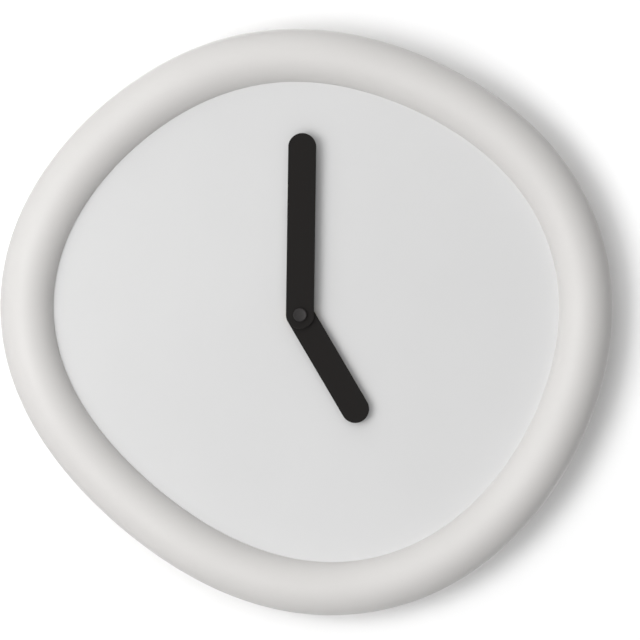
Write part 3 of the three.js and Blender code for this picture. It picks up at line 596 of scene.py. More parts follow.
@contextmanager
def editing(piece: Piece, part: Part = Part.CORNERS, test: Callable | None = None) -> Iterator[None]:
    """Opens a piece in edit mode, all of it selected or only what passes a test.

    Args:
        piece: The piece.
        part: What the test looks at.
        test: Says whether a corner or edge is selected.
    """
    choose(piece)
    bpy.ops.object.mode_set(mode="EDIT")
    mode, collection = part.value
    bpy.ops.mesh.select_mode(type=mode)
    bpy.ops.mesh.select_all(action="SELECT" if test is None else "DESELECT")
    if test is not None:
        bpy.ops.object.mode_set(mode="OBJECT")
        for item in getattr(piece.data, collection):
            item.select = bool(test(item))
        bpy.ops.object.mode_set(mode="EDIT")
    yield
    bpy.ops.object.mode_set(mode="OBJECT")


def linked(name: str, data: bpy.types.ID) -> Piece:
    """Makes an object and links it to the scene.

    Args:
        name: Its name.
        data: Its mesh, lamp or camera.

    Returns:
        The object.
    """
    made = bpy.data.objects.new(name, data)
    bpy.context.scene.collection.objects.link(made)
    return made


def copied(piece: Piece, name: str) -> Piece:
    """Copies a piece with a mesh of its own."""
    return linked(name, piece.data.copy())


def primitive(add: Callable, **sizes: object) -> Piece:
    """Adds a primitive with all else deselected, its place and turn in its mesh.

    Args:
        add: The operator that adds it.
        sizes: Its sizes, place and turn.

    Returns:
        The piece.
    """
    bpy.ops.object.select_all(action="DESELECT")
    add(**sizes)
    bpy.ops.object.transform_apply(location=True, rotation=True, scale=True)
    return bpy.context.object


def bar(at: Place, radius: float, back: float, front: float, sides: int = 48) -> Piece:
    """Adds a round bar that runs along Y, as a tool or a weld.

    Args:
        at: Its axis, in X and Z.
        radius: Its radius.
        back: Its lower height.
        front: Its upper height.
        sides: How many sides it has.

    Returns:
        The bar.
    """
    return primitive(
        bpy.ops.mesh.primitive_cylinder_add,
        vertices=sides,
        radius=radius * MM,
        depth=(front - back) * MM,
        rotation=UPRIGHT,
        location=(at[0] * MM, -(front + back) / 2 * MM, at[1] * MM),
    )


def box(left: float, right: float, low: float, high: float, back: float, front: float) -> Piece:
    """Adds a straight block, as a tool or a weld.

    Args:
        left: Its lower X.
        right: Its upper X.
        low: Its lower Z.
        high: Its upper Z.
        back: Its lower height.
        front: Its upper height.

    Returns:
        The block.
    """
    return primitive(
        bpy.ops.mesh.primitive_cube_add,
        size=MM,
        location=((left + right) / 2 * MM, -(back + front) / 2 * MM, (low + high) / 2 * MM),
        scale=(right - left, front - back, high - low),
    )


def arc(x: float, y: float, radius: float, start: float, end: float, steps: int) -> list[Place]:
    """Lays points on an arc round x and y, from a start to an end in degrees."""
    angles = [math.radians(start + (end - start) * i / steps) for i in range(steps + 1)]
    return [(x + radius * math.cos(a), y + radius * math.sin(a)) for a in angles]


def spun(
    name: str, section: Section, steps: int = 64, closed: bool = True, sweep: float = 360.0
) -> Piece:
    """Spins a section about the axis of the hands.

    Args:
        name: The piece's name.
        section: Its points, as distance from the axis and height.
        steps: How many steps the turn has.
        closed: Whether the section closes on itself. One that starts and ends on the axis doesn't.
        sweep: The turn, in degrees.

    Returns:
        The piece.
    """
    add = bpy.ops.mesh.primitive_circle_add
    piece = primitive(add, vertices=len(section), radius=MM, fill_type="NOTHING")
    piece.name = name
    for corner, (reach, height) in zip(piece.data.vertices, section):
        corner.co = (reach * MM, -height * MM, 0.0)
    if not closed:
        ends = {0, len(section) - 1}
        with editing(piece, Part.EDGES, lambda edge: set(edge.vertices) == ends):
            bpy.ops.mesh.delete(type="EDGE")
    with editing(piece):
        bpy.ops.mesh.spin(steps=steps, angle=math.radians(sweep), center=(0, 0, 0), axis=(0, 1, 0))
    closed_up(piece)
    return piece


def closed_up(piece: Piece) -> None:
    """Merges doubled corners and turns the faces outwards.

    Args:
        piece: The piece.
    """
    with editing(piece):
        bpy.ops.mesh.remove_doubles(threshold=1e-7)
        bpy.ops.mesh.normals_make_consistent(inside=False)


def merged(piece: Piece) -> None:
    """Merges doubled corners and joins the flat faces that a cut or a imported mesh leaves.

    Args:
        piece: The piece.
    """
    with editing(piece):
        bpy.ops.mesh.remove_doubles(threshold=1e-6)
        bpy.ops.mesh.dissolve_limited(angle_limit=math.radians(1.0))


def moved(piece: Piece, at: Place, turn: float = 0.0) -> Piece:
    """Turns a piece about Y and moves it, in its mesh.

    Args:
        piece: The piece.
        at: Where its axis goes, in X and Z.
        turn: Its turn clockwise as seen from the front, in degrees.

    Returns:
        The piece.
    """
    place = Matrix.Translation((at[0] * MM, 0, at[1] * MM))
    piece.data.transform(place @ Matrix.Rotation(math.radians(turn), 4, "Y"))
    return piece


def gathered(pieces: Sequence[Piece]) -> Piece:
    """Joins separate solids in one object.

    Args:
        pieces: The solids.

    Returns:
        The object.
    """
    choose(pieces[0])
    for piece in pieces[1:]:
        piece.select_set(True)
    bpy.ops.object.join()
    return pieces[0]


def modified(piece: Piece, kind: str, **settings: object) -> None:
    """Adds a modifier to a piece and applies it.

    Args:
        piece: The piece.
        kind: The modifier's type.
        settings: Its settings.
    """
    choose(piece)
    step = piece.modifiers.new(kind, kind)
    for key, setting in settings.items():
        setattr(step, key, setting)
    bpy.ops.object.modifier_apply(modifier=step.name)


def worked(piece: Piece, tool: Piece, joint: Joint) -> None:
    """Cuts, welds or trims a piece by another, which is then gone."""
    modified(piece, "BOOLEAN", operation=joint.value, solver="EXACT", object=tool)
    bpy.data.objects.remove(tool)


def softened(piece: Piece, width: float, segments: int = 2, angle: float = 35.0) -> None:
    """Rounds the sharp edges of a piece.

    Args:
        piece: The piece.
        width: How wide the rounding is, in millimetres.
        segments: How many faces it has.
        angle: Edges sharper than this are rounded, in degrees.
    """
    sharp = {"limit_method": "ANGLE", "angle_limit": math.radians(angle)}
    sizes = {"width": width * MM, "segments": segments, "miter_outer": "MITER_ARC"}
    modified(piece, "BEVEL", **sharp, **sizes)


def smoothed(piece: Piece, angle: float = 32.0) -> Piece:
    """Shades a piece smooth, but for its sharp edges.

    Args:
        piece: The piece.
        angle: Edges sharper than this stay sharp, in degrees.

    Returns:
        The piece.
    """
    choose(piece)
    bpy.ops.object.shade_smooth_by_angle(angle=math.radians(angle))
    modified(piece, "WEIGHTED_NORMAL", keep_sharp=True)
    return piece


def placed(piece: Piece, body: str, slot: str, node: str, own: Material | None = None) -> None:
    """Gives a finished piece its material, the slot's finish unless it has its own, and its body, and hides
    the node it stands for.

    Args:
        piece: The piece.
        body: The body it rides on.
        slot: The record's material slot.
        node: The node that it replaces.
        own: Its material, where it isn't the slot's.
    """
    piece.data.materials.clear()
    piece.data.materials.append(own or finish(slot))
    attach(piece, body)
    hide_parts(node)
    log.info("%s: %d faces on %s", piece.name, len(piece.data.polygons), body)


def dressed(slot: str, *nodes: str) -> None:
    """Gives nodes of the frame the finish of a slot.

    Args:
        slot: The slot.
        nodes: The nodes.
    """
    for node in nodes:
        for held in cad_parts[node].material_slots:
            held.material = finish(slot)
        log.info("%s: dressed", node)


# The lobed outline


@dataclass(frozen=True)
class Lobe:
    """One low wave on the outline's radius."""

    height: float
    per_turn: int
    phase: float


@dataclass(frozen=True)
class Outline:
    """The rim's outer edge: a circle with a few low waves added to its radius."""

    radius: float = 169.9
    lobes: tuple[Lobe, ...] = (
        Lobe(5.96, 1, -19.5),
        Lobe(5.06, 2, -20.0),
        Lobe(2.55, 3, 44.3),
        Lobe(2.26, 4, 9.3),
        Lobe(0.47, 5, 25.9),
    )
    steps: int = 288

    def point(self, angle: float, inset: float) -> Place:
        """Gives a point of the edge, moved inwards square to it.

        Args:
            angle: The angle round the axis, in radians.
            inset: How far inwards.

        Returns:
            The point, in X and Z.
        """
        radius, slope = self.radius, 0.0
        for lobe in self.lobes:
            phase = lobe.per_turn * (angle - math.radians(lobe.phase))
            radius += lobe.height * math.cos(phase)
            slope -= lobe.height * lobe.per_turn * math.sin(phase)
        cosine, sine = math.cos(angle), math.sin(angle)
        along = Vector((slope * cosine - radius * sine, slope * sine + radius * cosine)).normalized()
        return (radius * cosine - along.y * inset, radius * sine + along.x * inset)

    def angle_above(self, x: float, inset: float) -> float:
        """Finds where the edge, moved inwards, passes over a place near the top.

        Args:
            x: The place, in X.
            inset: How far inwards.

        Returns:
            The angle, in degrees.
        """
        low, high = 45.0, 135.0
        while high - low > 1e-5:
            middle = (low + high) / 2
            if self.point(math.radians(middle), inset)[0] > x:
                low = middle
            else:
                high = middle
        return (low + high) / 2

    def section(self, points: Section) -> list[Place]:
        """Turns insets into distances from the axis, for spinning."""
        return [(self.radius - inset, height) for inset, height in points]

    def follow(self, piece: Piece, beyond: float = 20.0) -> None:
        """Moves a spun piece from the plain circle onto the lobed edge.

        Args:
            piece: The piece.
            beyond: Corners nearer to the axis than this stay on their circle.
        """
        for corner in piece.data.vertices:
            reach = math.hypot(corner.co.x, corner.co.z) / MM
            if reach > beyond:
                angle = math.atan2(corner.co.z, corner.co.x)
                x, z = self.point(angle, self.radius - reach)
                corner.co.x, corner.co.z = x * MM, z * MM

    def ring(self, name: str, points: Section) -> Piece:
        """Spins a whole ring and moves it onto the lobed edge.

        Args:
            name: The piece's name.
            points: Its section, as inset and height.

        Returns:
            The ring.
        """
        piece = spun(name, self.section(points), self.steps)
        self.follow(piece)
        return piece


# The screws


@dataclass(frozen=True)
class Screw:
    """A screw with a cross recess, modelled once and copied to its places."""

    name: str
    node: str
    head: Section
    shank: Section
    recess: Place
    arm: float
    arm_half: float
    turn: float
    edge: float = 0.0
    taper: float = 0.55

    def cross(self) -> Piece:
        """Makes the tool that sinks the cross, which narrows towards its floor.

        Returns:
            The tool.
        """
        arm, half, floor = self.arm, self.arm_half, self.recess[1]
        tool = box(-arm, arm, -half, half, *self.recess)
        worked(tool, box(-half, half, -arm, arm, *self.recess), Joint.WELD)
        for corner in tool.data.vertices:
            if corner.co.y < -(floor - 0.01) * MM:
                corner.co.x *= self.taper
                corner.co.z *= self.taper
        return tool

    def drive(self, places: Sequence[Place]) -> None:
        """Models the screw and sets a copy at each place, each turned further than the last.

        Args:
            places: Where the screws stand, in X and Z.
        """
        model = spun(self.node, (*self.head, *self.shank), 40, closed=False)
        worked(model, self.cross(), Joint.CUT)
        if self.edge:
            softened(model, self.edge, segments=1, angle=40)
        smoothed(model)
        for number, at in enumerate(places, 1):
            piece = moved(copied(model, f"{self.name}_{number}"), at, self.turn * number)
            placed(piece, "frame", "steel", f"{self.node}_{number}")
        bpy.data.objects.remove(model)


def hanger_holes(back: float, front: float) -> list[Piece]:
    """Makes the tools that drill from a back to a front for the hanger's two screws."""
    return [bar(at, HANGER_HOLE, back - OVERRUN, front + OVERRUN, 32) for at in HANGER_SCREWS]


# The rim


@dataclass
class Rim:
    """The two shells of the hollow rim and the screws that join them from behind."""

    outline: Outline = field(default_factory=Outline)
    crown: float = 15.25
    crown_height: float = 21.0
    crown_steps: int = 24
    skin: float = 0.1
    wall: float = 2.4
    split: float = 12.0
    seam: float = 0.3
    seam_edge: Place = (0.25, 0.3)
    lip: float = 24.3
    foot: float = 24.02
    spread: float = 1.045
    back_corner: float = 11.0
    side_corner: float = 5.0
    support: float = 24.0
    support_top: float = 20.7
    support_edge: float = 0.4
    tongue_rise: float = 2.5
    tongue_width: float = 1.5
    screw_count: int = 6
    screw_start: float = 30.0
    well_radius: float = 3.3
    well_depth: float = 2.8
    hole_radius: float = 1.7
    pillar_radius: float = 4.7
    pillar_top: float = 8.0
    lug_root: float = 0.6
    lug_back: float = 4.8
    lug_depth: float = 4.0
    lug_end: float = 49.05
    lug_half: float = 5.5
    screw: Screw = Screw(
        "rim_screw_head", "rim_screw", arm=1.9, arm_half=0.45, recess=(0.2, 1.7), turn=23.0, edge=0.06,
        head=((0.0, 0.5), (2.1, 0.55), (2.7, 0.8), (3.0, 1.3), (3.0, 2.3), (2.85, 2.5)),
        shank=((1.4, 2.5), (1.4, 20.9), (0.0, 22.3)),
    )

    def screw_places(self) -> list[Place]:
        """Works out where the screws stand, under the crown's crest."""
        angles = [self.screw_start + 360 / self.screw_count * i for i in range(self.screw_count)]
        return [self.outline.point(math.radians(angle), self.crown) for angle in angles]

    def front(self) -> Piece:
        """Models the front shell: a half-round crown that flows down onto the dial.

        Returns:
            The shell.
        """
        outer, inner = self.crown - self.skin, self.crown - self.wall
        outer_end = math.degrees(math.asin((self.foot - self.crown_height) / outer))
        inner_end = math.degrees(math.asin((self.lip - self.crown_height) / inner))
        edge_in, edge_up = self.seam_edge
        flank = arc(0, self.crown_height, outer, 90, outer_end, self.crown_steps)[1:]
        section = [
            (self.skin + edge_in, self.split), (self.skin, self.split + edge_up),
            *arc(self.crown, self.crown_height, outer, 180, 90, self.crown_steps),
            *[(self.crown + x * self.spread, height) for x, height in flank],
            (self.crown + inner, self.foot),
            *arc(self.crown, self.crown_height, inner, inner_end, 180, self.crown_steps),
            (self.wall, self.split),
        ]
        return smoothed(self.outline.ring("rim_crown", section), 50)

    def back(self) -> Piece:
        """Models the rear channel with its screw wells, pillars and lugs.

        Returns:
            The channel.
        """
        top, tongue_top = self.split - self.seam, self.split + self.tongue_rise
        outer, tongue = self.support + self.wall, self.wall + self.seam
        corner, side = self.back_corner, self.side_corner
        edge_in, edge_up = self.seam_edge
        section = [
            (self.skin + edge_in, top), (self.skin, top - edge_up),
            *arc(corner, corner, corner - self.skin, 180, 270, 16)[:-1],
            (corner, 0.0), *arc(outer - side, side, side, -90, 0, 10),
            (outer, self.support_top - self.support_edge),
            (outer - self.support_edge, self.support_top), (self.support, self.support_top),
            *arc(outer - side, side, side - self.wall, 0, -90, 6),
            *arc(corner, corner, corner - self.wall, 270, 206, 8),
            (tongue + self.tongue_width, tongue_top), (tongue, tongue_top), (tongue, top),
        ]
        piece = self.outline.ring("rim_channel", section)
        places = self.screw_places()
        pillars = [bar(at, self.pillar_radius, self.wall / 2, self.pillar_top) for at in places]
        worked(piece, gathered(pillars), Joint.WELD)
        worked(piece, gathered([self.lug(at) for at in HANGER_SCREWS]), Joint.WELD)
        wells = [bar(at, self.well_radius, -OVERRUN, self.well_depth) for at in places]
        worked(piece, gathered(wells), Joint.CUT)
        holes = [bar(at, self.hole_radius, 0.0, self.pillar_top + OVERRUN, 32) for at in places]
        holes += hanger_holes(self.lug_back, self.lug_back + self.lug_depth)
        worked(piece, gathered(holes), Joint.CUT)
        return smoothed(piece)

    def lug(self, at: Place) -> Piece:
        """Models one lug for the hanger plate, in from the wall that carries the dial.

        Args:
            at: Its screw's place.

        Returns:
            The lug.
        """
        outer, root = self.support + self.wall, self.support + self.wall * self.lug_root
        back, front = self.lug_back, self.lug_back + self.lug_depth
        right = self.outline.angle_above(at[0] + self.lug_half, outer)
        left = self.outline.angle_above(at[0] - self.lug_half, outer)
        section = [(root, back), (self.lug_end, back), (self.lug_end, front), (root, front)]
        piece = spun("lug", self.outline.section(section), 6, sweep=left - right)
        with editing(piece):
            bpy.ops.mesh.select_non_manifold()
            bpy.ops.mesh.edge_face_add()
        low = min(math.atan2(c.co.z, c.co.x) for c in piece.data.vertices)
        piece.data.transform(Matrix.Rotation(-(math.radians(right) - low), 4, "Y"))
        self.outline.follow(piece)
        closed_up(piece)
        return piece

    def build(self) -> None:
        """Builds the rim and dresses it."""
        placed(self.front(), "frame", "rim", "rim_front")
        placed(self.back(), "frame", "rim", "rim_back")
        self.screw.drive(self.screw_places())


# The dial


@dataclass
class Dial:
    """The bare flat dial with the rim's outline."""

    outline: Outline
    inset: float = 20.0
    back: float = 21.0
    front: float = 24.0
    edge: float = 0.3
    hole: float = 4.2
    hole_edge: float = 0.2
    edge_band: float = 10.0

    def build(self) -> None:
        """Builds the dial and dresses it."""
        rim = self.outline.radius - self.inset
        section = [
            (self.hole, self.back), (rim - self.edge, self.back), (rim, self.back + self.edge),
            (rim, self.front - self.edge), (rim - self.edge, self.front),
            *[(rim * share, self.front) for share in (0.75, 0.5, 0.25)],
            (self.hole + self.hole_edge, self.front), (self.hole, self.front - self.hole_edge),
        ]
        piece = spun("dial_disc", section, self.outline.steps)
        self.outline.follow(piece, beyond=rim - self.edge_band)
        placed(smoothed(piece), "frame", "dial", "dial")


# The hanger


@dataclass
class Hanger:
    """The keyhole plate at the top and its two screws."""

    middle: Place = (5.6, 122.02)
    width: float = 50.0
    height: float = 22.0
    back: float = 3.0
    thickness: float = 1.5
    corner: float = 3.0
    pad_width: float = 16.0
    pad_rise: float = 0.8
    pad_root: float = 0.4
    pad_edge: float = 2.0
    head: float = 4.7
    slot: float = 2.4
    travel: float = 8.0
    edge: float = 0.22
    screw: Screw = Screw(
        "keyhole_plate_screw", "hanger_screw", arm=1.5, arm_half=0.4, recess=(1.0, 2.1), turn=35.0,
        head=((0.0, 1.2), (1.5, 1.25), (2.2, 1.5), (2.6, 2.1), (2.6, 2.7)),
        shank=((1.2, 2.7), (1.2, 8.1), (0.0, 8.5)),
    )

    def sheet(self, width: float, height: float, back: float, front: float) -> Piece:
        """Models a flat sheet with round corners.

        Args:
            width: Its width.
            height: Its height.
            back: The height of its rear face.
            front: The height of its front face.

        Returns:
            The sheet.
        """
        x, z = self.middle
        piece = box(x - width / 2, x + width / 2, z - height / 2, z + height / 2, back, front)

        def upright(edge: bpy.types.MeshEdge) -> bool:
            """Says whether an edge runs through the sheet's thickness."""
            one, two = (piece.data.vertices[i].co for i in edge.vertices)
            return math.hypot(one.x - two.x, one.z - two.z) < 1e-6

        with editing(piece, Part.EDGES, upright):
            bpy.ops.mesh.bevel(offset=self.corner * MM, segments=10, affect="EDGES")
        return piece

    def plate(self) -> Piece:
        """Models the plate with its raised pad and keyhole.

        Returns:
            The plate.
        """
        x, z = self.middle
        front = self.back + self.thickness
        top = front + self.pad_rise
        piece = self.sheet(self.width, self.height, self.back, front)
        pad_height = self.height - 2 * self.pad_edge
        worked(piece, self.sheet(self.pad_width, pad_height, front - self.pad_root, top), Joint.WELD)
        low, deep = z - self.travel / 2, (self.back - OVERRUN, top + OVERRUN)
        keyhole = bar((x, low), self.head, *deep, 64)
        slot = box(x - self.slot, x + self.slot, low, low + self.travel, *deep)
        for tool in (slot, bar((x, low + self.travel), self.slot, *deep)):
            worked(keyhole, tool, Joint.WELD)
        worked(piece, keyhole, Joint.CUT)
        worked(piece, gathered(hanger_holes(self.back, front)), Joint.CUT)
        softened(piece, self.edge)
        piece.name = "keyhole_plate"
        return smoothed(piece)

    def build(self) -> None:
        """Builds the plate and its screws and dresses them."""
        placed(self.plate(), "frame", "steel", "hanger_plate")
        self.screw.drive(HANGER_SCREWS)


# The fixing of the movement


@dataclass
class Fixing:
    """Gasket, washer, nut and threaded bush, which clamp the movement to the dial."""

    bush_radius: float = 3.9
    bush_bore: float = 2.8
    bush_back: float = 17.3
    bush_front: float = 27.9
    bush_edge: float = 0.3
    flange_radius: float = 6.0
    flange_thickness: float = 1.0
    thread_start: float = 2.0
    thread_pitch: float = 0.75
    thread_depth: float = 0.35
    hole: float = 4.2
    nut_back: float = 25.2
    nut_front: float = 27.2
    across_flats: float = 12.0
    chamfer: Place = (0.75, 0.45)
    chamfer_clear: float = 0.1
    nut_edge: float = 0.08
    washer: Section = (
        (4.2, 24.35), (4.3, 24.3), (6.85, 24.3), (7.0, 24.42),
        (7.0, 24.78), (6.85, 24.9), (4.3, 24.9), (4.2, 24.85),
    )

    def bush(self) -> Piece:
        """Models the flanged bush with its thread as fine grooves.

        Returns:
            The bush.
        """
        radius, pitch, front = self.bush_radius, self.thread_pitch, self.bush_front
        seat, start = self.bush_back + self.flange_thickness, self.bush_back + self.thread_start
        turns = int((front - self.bush_edge - start) / pitch)
        thread: list[Place] = []
        for i in range(turns):
            height = start + i * pitch
            thread += [(radius, height), (radius - self.thread_depth, height + pitch / 2)]
        section = [
            (self.bush_bore, self.bush_back), (self.flange_radius, self.bush_back),
            (self.flange_radius, seat), (radius, seat), *thread, (radius, start + turns * pitch),
            (radius - self.bush_edge, front), (self.bush_bore, front),
        ]
        return smoothed(spun("clamp_bush", section), 25)

    def nut(self) -> Piece:
        """Models the hexagon nut, its corners chamfered on both faces.

        Returns:
            The nut.
        """
        corner = self.across_flats / math.sqrt(3)
        low, high = self.nut_back, self.nut_front
        cut_in, cut_down = self.chamfer
        flat, edge = corner - cut_in, corner + self.chamfer_clear
        turned = [(0.0, low), (flat, low), (edge, low + cut_down), (edge, high - cut_down)]
        turned += [(flat, high), (0.0, high)]
        below, above = low - OVERRUN, high + OVERRUN
        hole = [(0.0, below), (self.hole, below), (self.hole, above), (0.0, above)]
        piece = bar(AXIS, corner, low, high, 6)
        worked(piece, spun("chamfers", turned, 64, closed=False), Joint.KEEP)
        worked(piece, spun("hole", hole, 48, closed=False), Joint.CUT)
        softened(piece, self.nut_edge, angle=28)
        piece.name = "clamp_nut"
        return smoothed(piece)

    def build(self) -> None:
        """Builds the fixing and dresses it."""
        placed(self.bush(), "frame", "brass", "threaded_bush")
        placed(self.nut(), "frame", "brass", "hex_nut")
        placed(smoothed(spun("clamp_washer", self.washer)), "frame", "brass", "washer")
        dressed("rubber", "gasket")


# The movement


@dataclass
class Movement:
    """The black case with its cover, battery, electronics and wheels."""

    cell_half: float = 25.2
    cell_height: float = 11.2
    cell_low: float = -19.35
    cell_foot: Section = ((0.0, 0.25), (4.6, 0.2), (4.9, 0.0), (6.3, 0.05), (6.9, 0.3), (7.1, 0.8))
    cell_shoulder: Section = ((7.1, 1.9), (6.9, 1.3), (6.3, 1.05), (5.2, 1.0), (4.9, 1.2), (3.2, 1.2))
    cell_nub: Section = ((2.75, 0.9), (2.7, 0.2), (2.4, 0.0), (0.0, 0.0))
    case_edge: float = 0.25
    cover_edge: float = 0.15
    knob_edge: float = 0.12
    cover_back: float = 3.8
    mark_depth: float = 0.3
    knob_at: Place = (16.914, -6.156)
    arrow_rise: float = 3.2
    arrow_radius: float = 6.3
    arrow_half: float = 0.3
    arrow_head: float = 1.25
    arrow_clear: float = 8.0
    plus_at: Place = (-22.6, -7.4)
    plus_arm: float = 1.5
    minus_at: Place = (23.6, -8.0)
    minus_arm: float = 1.2
    stroke: float = 0.32

    def softened_node(self, node: str, name: str, width: float) -> Piece:
        """Copies a moulded node, merges it and rounds its edges.

        Args:
            node: The node.
            name: The new piece's name.
            width: How wide the rounding is.

        Returns:
            The piece.
        """
        piece = copied(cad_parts[node], name)
        merged(piece)
        softened(piece, width)
        return smoothed(piece)

    def dash(self, at: Place, reach: float, half: float) -> Piece:
        """Makes a tool that sinks a short bar in the cover.

        Args:
            at: The bar's middle.
            reach: Half its length, along X.
            half: Half its height, along Z.

        Returns:
            The tool.
        """
        x, z = at
        front = self.cover_back + self.mark_depth
        return box(x - reach, x + reach, z - half, z + half, self.cover_back - OVERRUN, front)

    def arrow(self) -> Piece:
        """Makes the tool that sinks the turning arrow over the knob.

        Returns:
            The tool.
        """
        x, z = self.knob_at
        back, front = self.cover_back - OVERRUN, self.cover_back + self.mark_depth
        past = (back - OVERRUN, front + OVERRUN)
        rise, middle, half, clear = self.arrow_rise, self.arrow_radius, self.arrow_half, self.arrow_clear
        ring = bar(self.knob_at, middle + half, back, front, 64)
        worked(ring, bar(self.knob_at, middle - half, *past, 64), Joint.CUT)
        worked(ring, box(x - clear, x + clear, z + rise, z + clear, *past), Joint.KEEP)
        end = math.asin(rise / middle)
        tip = (x + middle * math.cos(end), z + rise)
        head = moved(bar(AXIS, self.arrow_head, back, front, 3), tip, 180 - math.degrees(end))
        worked(ring, head, Joint.WELD)
        return ring

    def cover(self) -> Piece:
        """Models the cover with its sunk marks: plus, minus and the turning arrow.

        Returns:
            The cover.
        """
        piece = self.softened_node("movement_cover", "case_cover", self.cover_edge)
        plus = self.dash(self.plus_at, self.plus_arm, self.stroke)
        worked(plus, self.dash(self.plus_at, self.stroke, self.plus_arm), Joint.WELD)
        minus = self.dash(self.minus_at, self.minus_arm, self.stroke)
        worked(piece, gathered([plus, minus, self.arrow()]), Joint.CUT)
        merged(piece)
        return smoothed(piece)

    def cell(self) -> Piece:
        """Models the battery: crimped ends, a nub and the film's turned-over edges.

        Returns:
            The battery, lying along X with its nub at the left.
        """
        foot = [(radius, -self.cell_half + rise) for radius, rise in self.cell_foot]
        top = [(radius, self.cell_half - drop) for radius, drop in (*self.cell_shoulder, *self.cell_nub)]
        piece = spun("dry_cell", foot + top, 64, closed=False)
        stand = Matrix.Rotation(math.radians(-90), 4, "Z")
        place = Matrix.Translation((0, -self.cell_height * MM, self.cell_low * MM))
        piece.data.transform(place @ stand)
        return smoothed(piece)

    def build(self) -> None:
        """Builds the movement and dresses it."""
        case = self.softened_node("movement_case", "case_shell", self.case_edge)
        placed(case, "frame", "casing", "movement_case")
        placed(self.cover(), "frame", "casing", "movement_cover")
        knob = self.softened_node("set_knob", "setting_knob", self.knob_edge)
        placed(knob, "knob_body", "wheel", "set_knob")
        placed(self.cell(), "frame", "battery", "battery")
        dressed("steel", "contact_positive", "contact_negative", "quartz_crystal", "stator", "coil_core")
        dressed("board", "circuit_board")
        dressed("rubber", "chip_cover")
        dressed("copper", "coil_winding")
        dressed("wheel", "coil_bobbin", "rotor", "intermediate_wheel", "second_wheel", "third_wheel")
        dressed("wheel", "centre_wheel", "minute_pipe", "minute_wheel", "hour_wheel")


# The hands


@dataclass(frozen=True)
class Hand:
    """One flat hand, its angle clockwise from twelve, and the collet that carries it."""

    kind: str
    length: float
    angle: float
    back: float
    hole: float
    bore: float
    collet_back: float
    collet_seat: float
    collet_front: float
    half_width: float = 8.2
    trim: float = 0.18
    thickness: float = 1.0
    edge: float = 0.22
    flange: float = 4.6
    flange_edge: float = 0.15
    neck_wall: float = 0.8
    neck_edge: float = 0.1

    def flat(self) -> Piece:
        """Models the hand: a flat bar with round ends and eased edges, its hole on the axis.

        Returns:
            The hand.
        """
        radius, front = self.half_width - self.trim, self.back + self.thickness
        add = bpy.ops.mesh.primitive_circle_add
        piece = primitive(add, vertices=96, radius=radius * MM, fill_type="NGON", rotation=UPRIGHT)
        piece.name = f"{self.kind}_bar"
        with editing(piece, Part.CORNERS, lambda corner: corner.co.z > 1e-7):
            bpy.ops.transform.translate(value=(0, 0, (self.length - self.trim - radius) * MM))
        piece.data.transform(Matrix.Translation((0, -self.back * MM, 0)))
        rise = {"value": (0, -self.thickness * MM, 0)}
        with editing(piece):
            bpy.ops.mesh.extrude_region_move(TRANSFORM_OT_translate=rise)
        closed_up(piece)
        worked(piece, bar(AXIS, self.hole, self.back - OVERRUN, front + OVERRUN), Joint.CUT)
        softened(piece, self.edge, segments=3)
        return smoothed(moved(piece, AXIS, self.angle), 40)

    def collet(self) -> Piece:
        """Models the flanged sleeve that carries the hand.

        Returns:
            The collet.
        """
        bore, back, seat, front = self.bore, self.collet_back, self.collet_seat, self.collet_front
        neck, edge, ease = bore + self.neck_wall, self.flange_edge, self.neck_edge
        section = [
            (bore, back + ease), (bore + ease, back),
            (self.flange - edge, back), (self.flange, back + edge),
            (self.flange, seat - edge), (self.flange - edge, seat),
            (neck, seat), (neck, front - ease), (neck - ease, front), (bore, front),
        ]
        return smoothed(spun(f"{self.kind}_sleeve", section))


@dataclass
class Hands:
    """The two flat hands, their collets and the cap over the axis."""

    hour: Hand = Hand(
        "hour", length=70.6, angle=149.6, back=29.1, hole=3.9,
        bore=2.8, collet_back=28.2, collet_seat=28.8, collet_front=30.4,
    )
    minute: Hand = Hand(
        "minute", length=104.1, angle=0.8, back=31.9, hole=2.85,
        bore=1.75, collet_back=31.0, collet_seat=31.6, collet_front=32.9,
    )
    cap_side: Section = ((0.0, 34.4), (1.75, 34.4), (1.75, 33.2), (3.7, 33.2), (3.85, 33.35), (3.85, 34.55))
    cap_round: Point = (3.45, 34.6, 0.4)
    cap_dish: Section = ((3.1, 34.98), (2.85, 34.9), (1.5, 34.86), (0.0, 34.85))

    def cap(self) -> Piece:
        """Models the pressed cap: a round disc with an eased rim and a faint dish."""
        section = [*self.cap_side, *arc(*self.cap_round, 0, 90, 6), *self.cap_dish]
        return smoothed(spun("axis_cap", section, 72, closed=False), 28)

    def build(self) -> None:
        """Builds the hands and dresses them."""
        hands = (self.hour, self.minute)
        for hand in hands:
            node = f"{hand.kind}_hand"
            lacquer = HandLacquer(f"{node}_lacquer", hand.length, hand.half_width, hand.angle)
            placed(hand.flat(), f"{hand.kind}_body", "hand", node, lacquer.material())
        for hand in hands:
            placed(hand.collet(), f"{hand.kind}_body", "brass", f"{hand.kind}_collet")
        placed(self.cap(), "minute_body", "cap", "centre_cap")


# The studio


@dataclass(frozen=True)
class Lamp:
    """A square soft lamp that looks at the clock."""

    name: str
    place: Point
    size: float
    power: float

    def build(self) -> None:
        """Adds the lamp."""
        data = bpy.data.lights.new(self.name, "AREA")
        data.shape = "SQUARE"
        data.size = self.size
        data.energy = self.power
        lamp = linked(self.name, data)
        lamp.location = self.place
        lamp.rotation_euler = (-Vector(self.place)).to_track_quat("-Z", "Y").to_euler()
        lamp.visible_camera = False


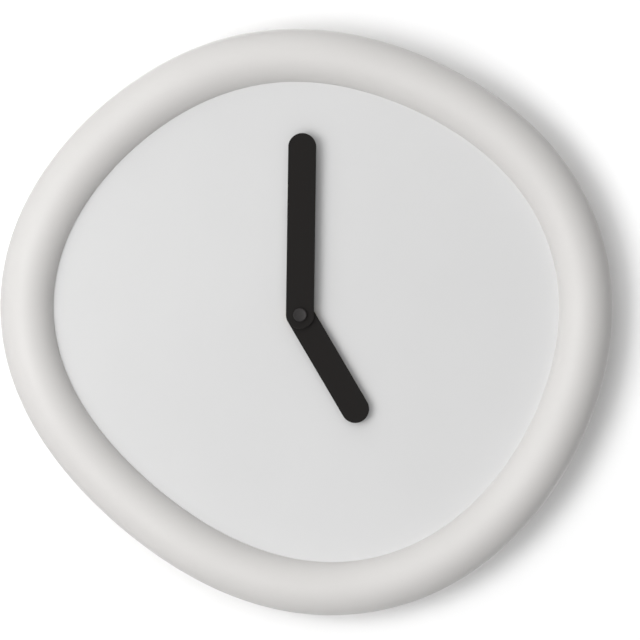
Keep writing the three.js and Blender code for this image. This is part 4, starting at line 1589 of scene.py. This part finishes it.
@dataclass
class Studio:
    """The wall, the camera square to the dial and the soft lamps."""

    width_in_view: float = 367.2
    camera_distance: float = 3000.0
    plane: float = 21.0
    camera_x: float = 11.48
    camera_z: float = -2.93
    sensor: float = 36.0
    ambient: float = 0.12
    wall_size: float = 6000.0
    wall_gap: float = 0.4
    clip_end: float = 50.0
    lamps: tuple[Lamp, ...] = (
        Lamp("key_core", (-0.85, -1.586, 0.0), 0.72, 12.4),
        Lamp("key_wide", (-0.85, -1.586, 0.0), 2.2, 15.4),
        Lamp("high_left", (-0.75, -1.4, 2.5), 3.0, 26.0),
        Lamp("low", (-0.69, -2.1, -2.0), 3.0, 12.0),
        Lamp("front", (0.0, -3.2, 0.0), 4.0, 21.5),
        Lamp("back_left", (-0.5, 3.0, 1.2), 1.6, 30.0),
        Lamp("back_right", (0.6, 3.0, -0.3), 1.6, 20.0),
    )

    def build(self) -> None:
        """Sets up the wall, the camera, the lamps and the world."""
        self.wall()
        self.camera()
        self.world()
        for lamp in self.lamps:
            lamp.build()
        bpy.context.scene.view_settings.view_transform = "Standard"

    def wall(self) -> None:
        """Hangs the wall just behind the clock's back."""
        add, behind = bpy.ops.mesh.primitive_plane_add, (0, self.wall_gap * MM, 0)
        wall = primitive(add, size=self.wall_size * MM, location=behind, rotation=UPRIGHT)
        wall.name = "wall"
        wall.data.materials.append(Wall().material())
        wall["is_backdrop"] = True

    def camera(self) -> None:
        """Places the camera square to the dial, with a long lens."""
        data = bpy.data.cameras.new("camera")
        data.sensor_width = self.sensor
        data.lens = self.sensor * self.camera_distance / self.width_in_view
        data.clip_end = self.clip_end
        camera = linked("camera", data)
        depth = self.camera_distance + self.plane
        camera.location = (self.camera_x * MM, -depth * MM, self.camera_z * MM)
        camera.rotation_euler = UPRIGHT
        bpy.context.scene.camera = camera

    def world(self) -> None:
        """Lights the clock softly from all round, and shows white where the backdrop is seen."""
        g = Graph(bpy.data.worlds.new("studio"))
        bpy.context.scene.world = g.owner
        white = (1.0, 1.0, 1.0, 1.0)
        around, backdrop = (
            g.node("ShaderNodeBackground", sockets={"Color": white, "Strength": strength})
            for strength in (self.ambient, 1.0)
        )
        mixed = g.node("ShaderNodeMixShader", sockets={0: g.seen(), 1: around, 2: backdrop})
        g.node("ShaderNodeOutputWorld", sockets={"Surface": mixed})


def write_sizes() -> None:
    """Works out the frame's box and the dressed model's box."""
    boxes = {"cad": cad_box, "visual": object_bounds()}
    plain = {name: [[float(n) for n in corner] for corner in box] for name, box in boxes.items()}


def main() -> None:
    """Builds the clock, piece by piece, and the studio round it."""
    logging.basicConfig(level=logging.INFO, format="%(name)s: %(message)s")
    rim = Rim()
    for assembly in (rim, Dial(rim.outline), Hanger(), Fixing(), Movement(), Hands(), Studio()):
        assembly.build()
    write_sizes()


if __name__ == "__main__":
    main()
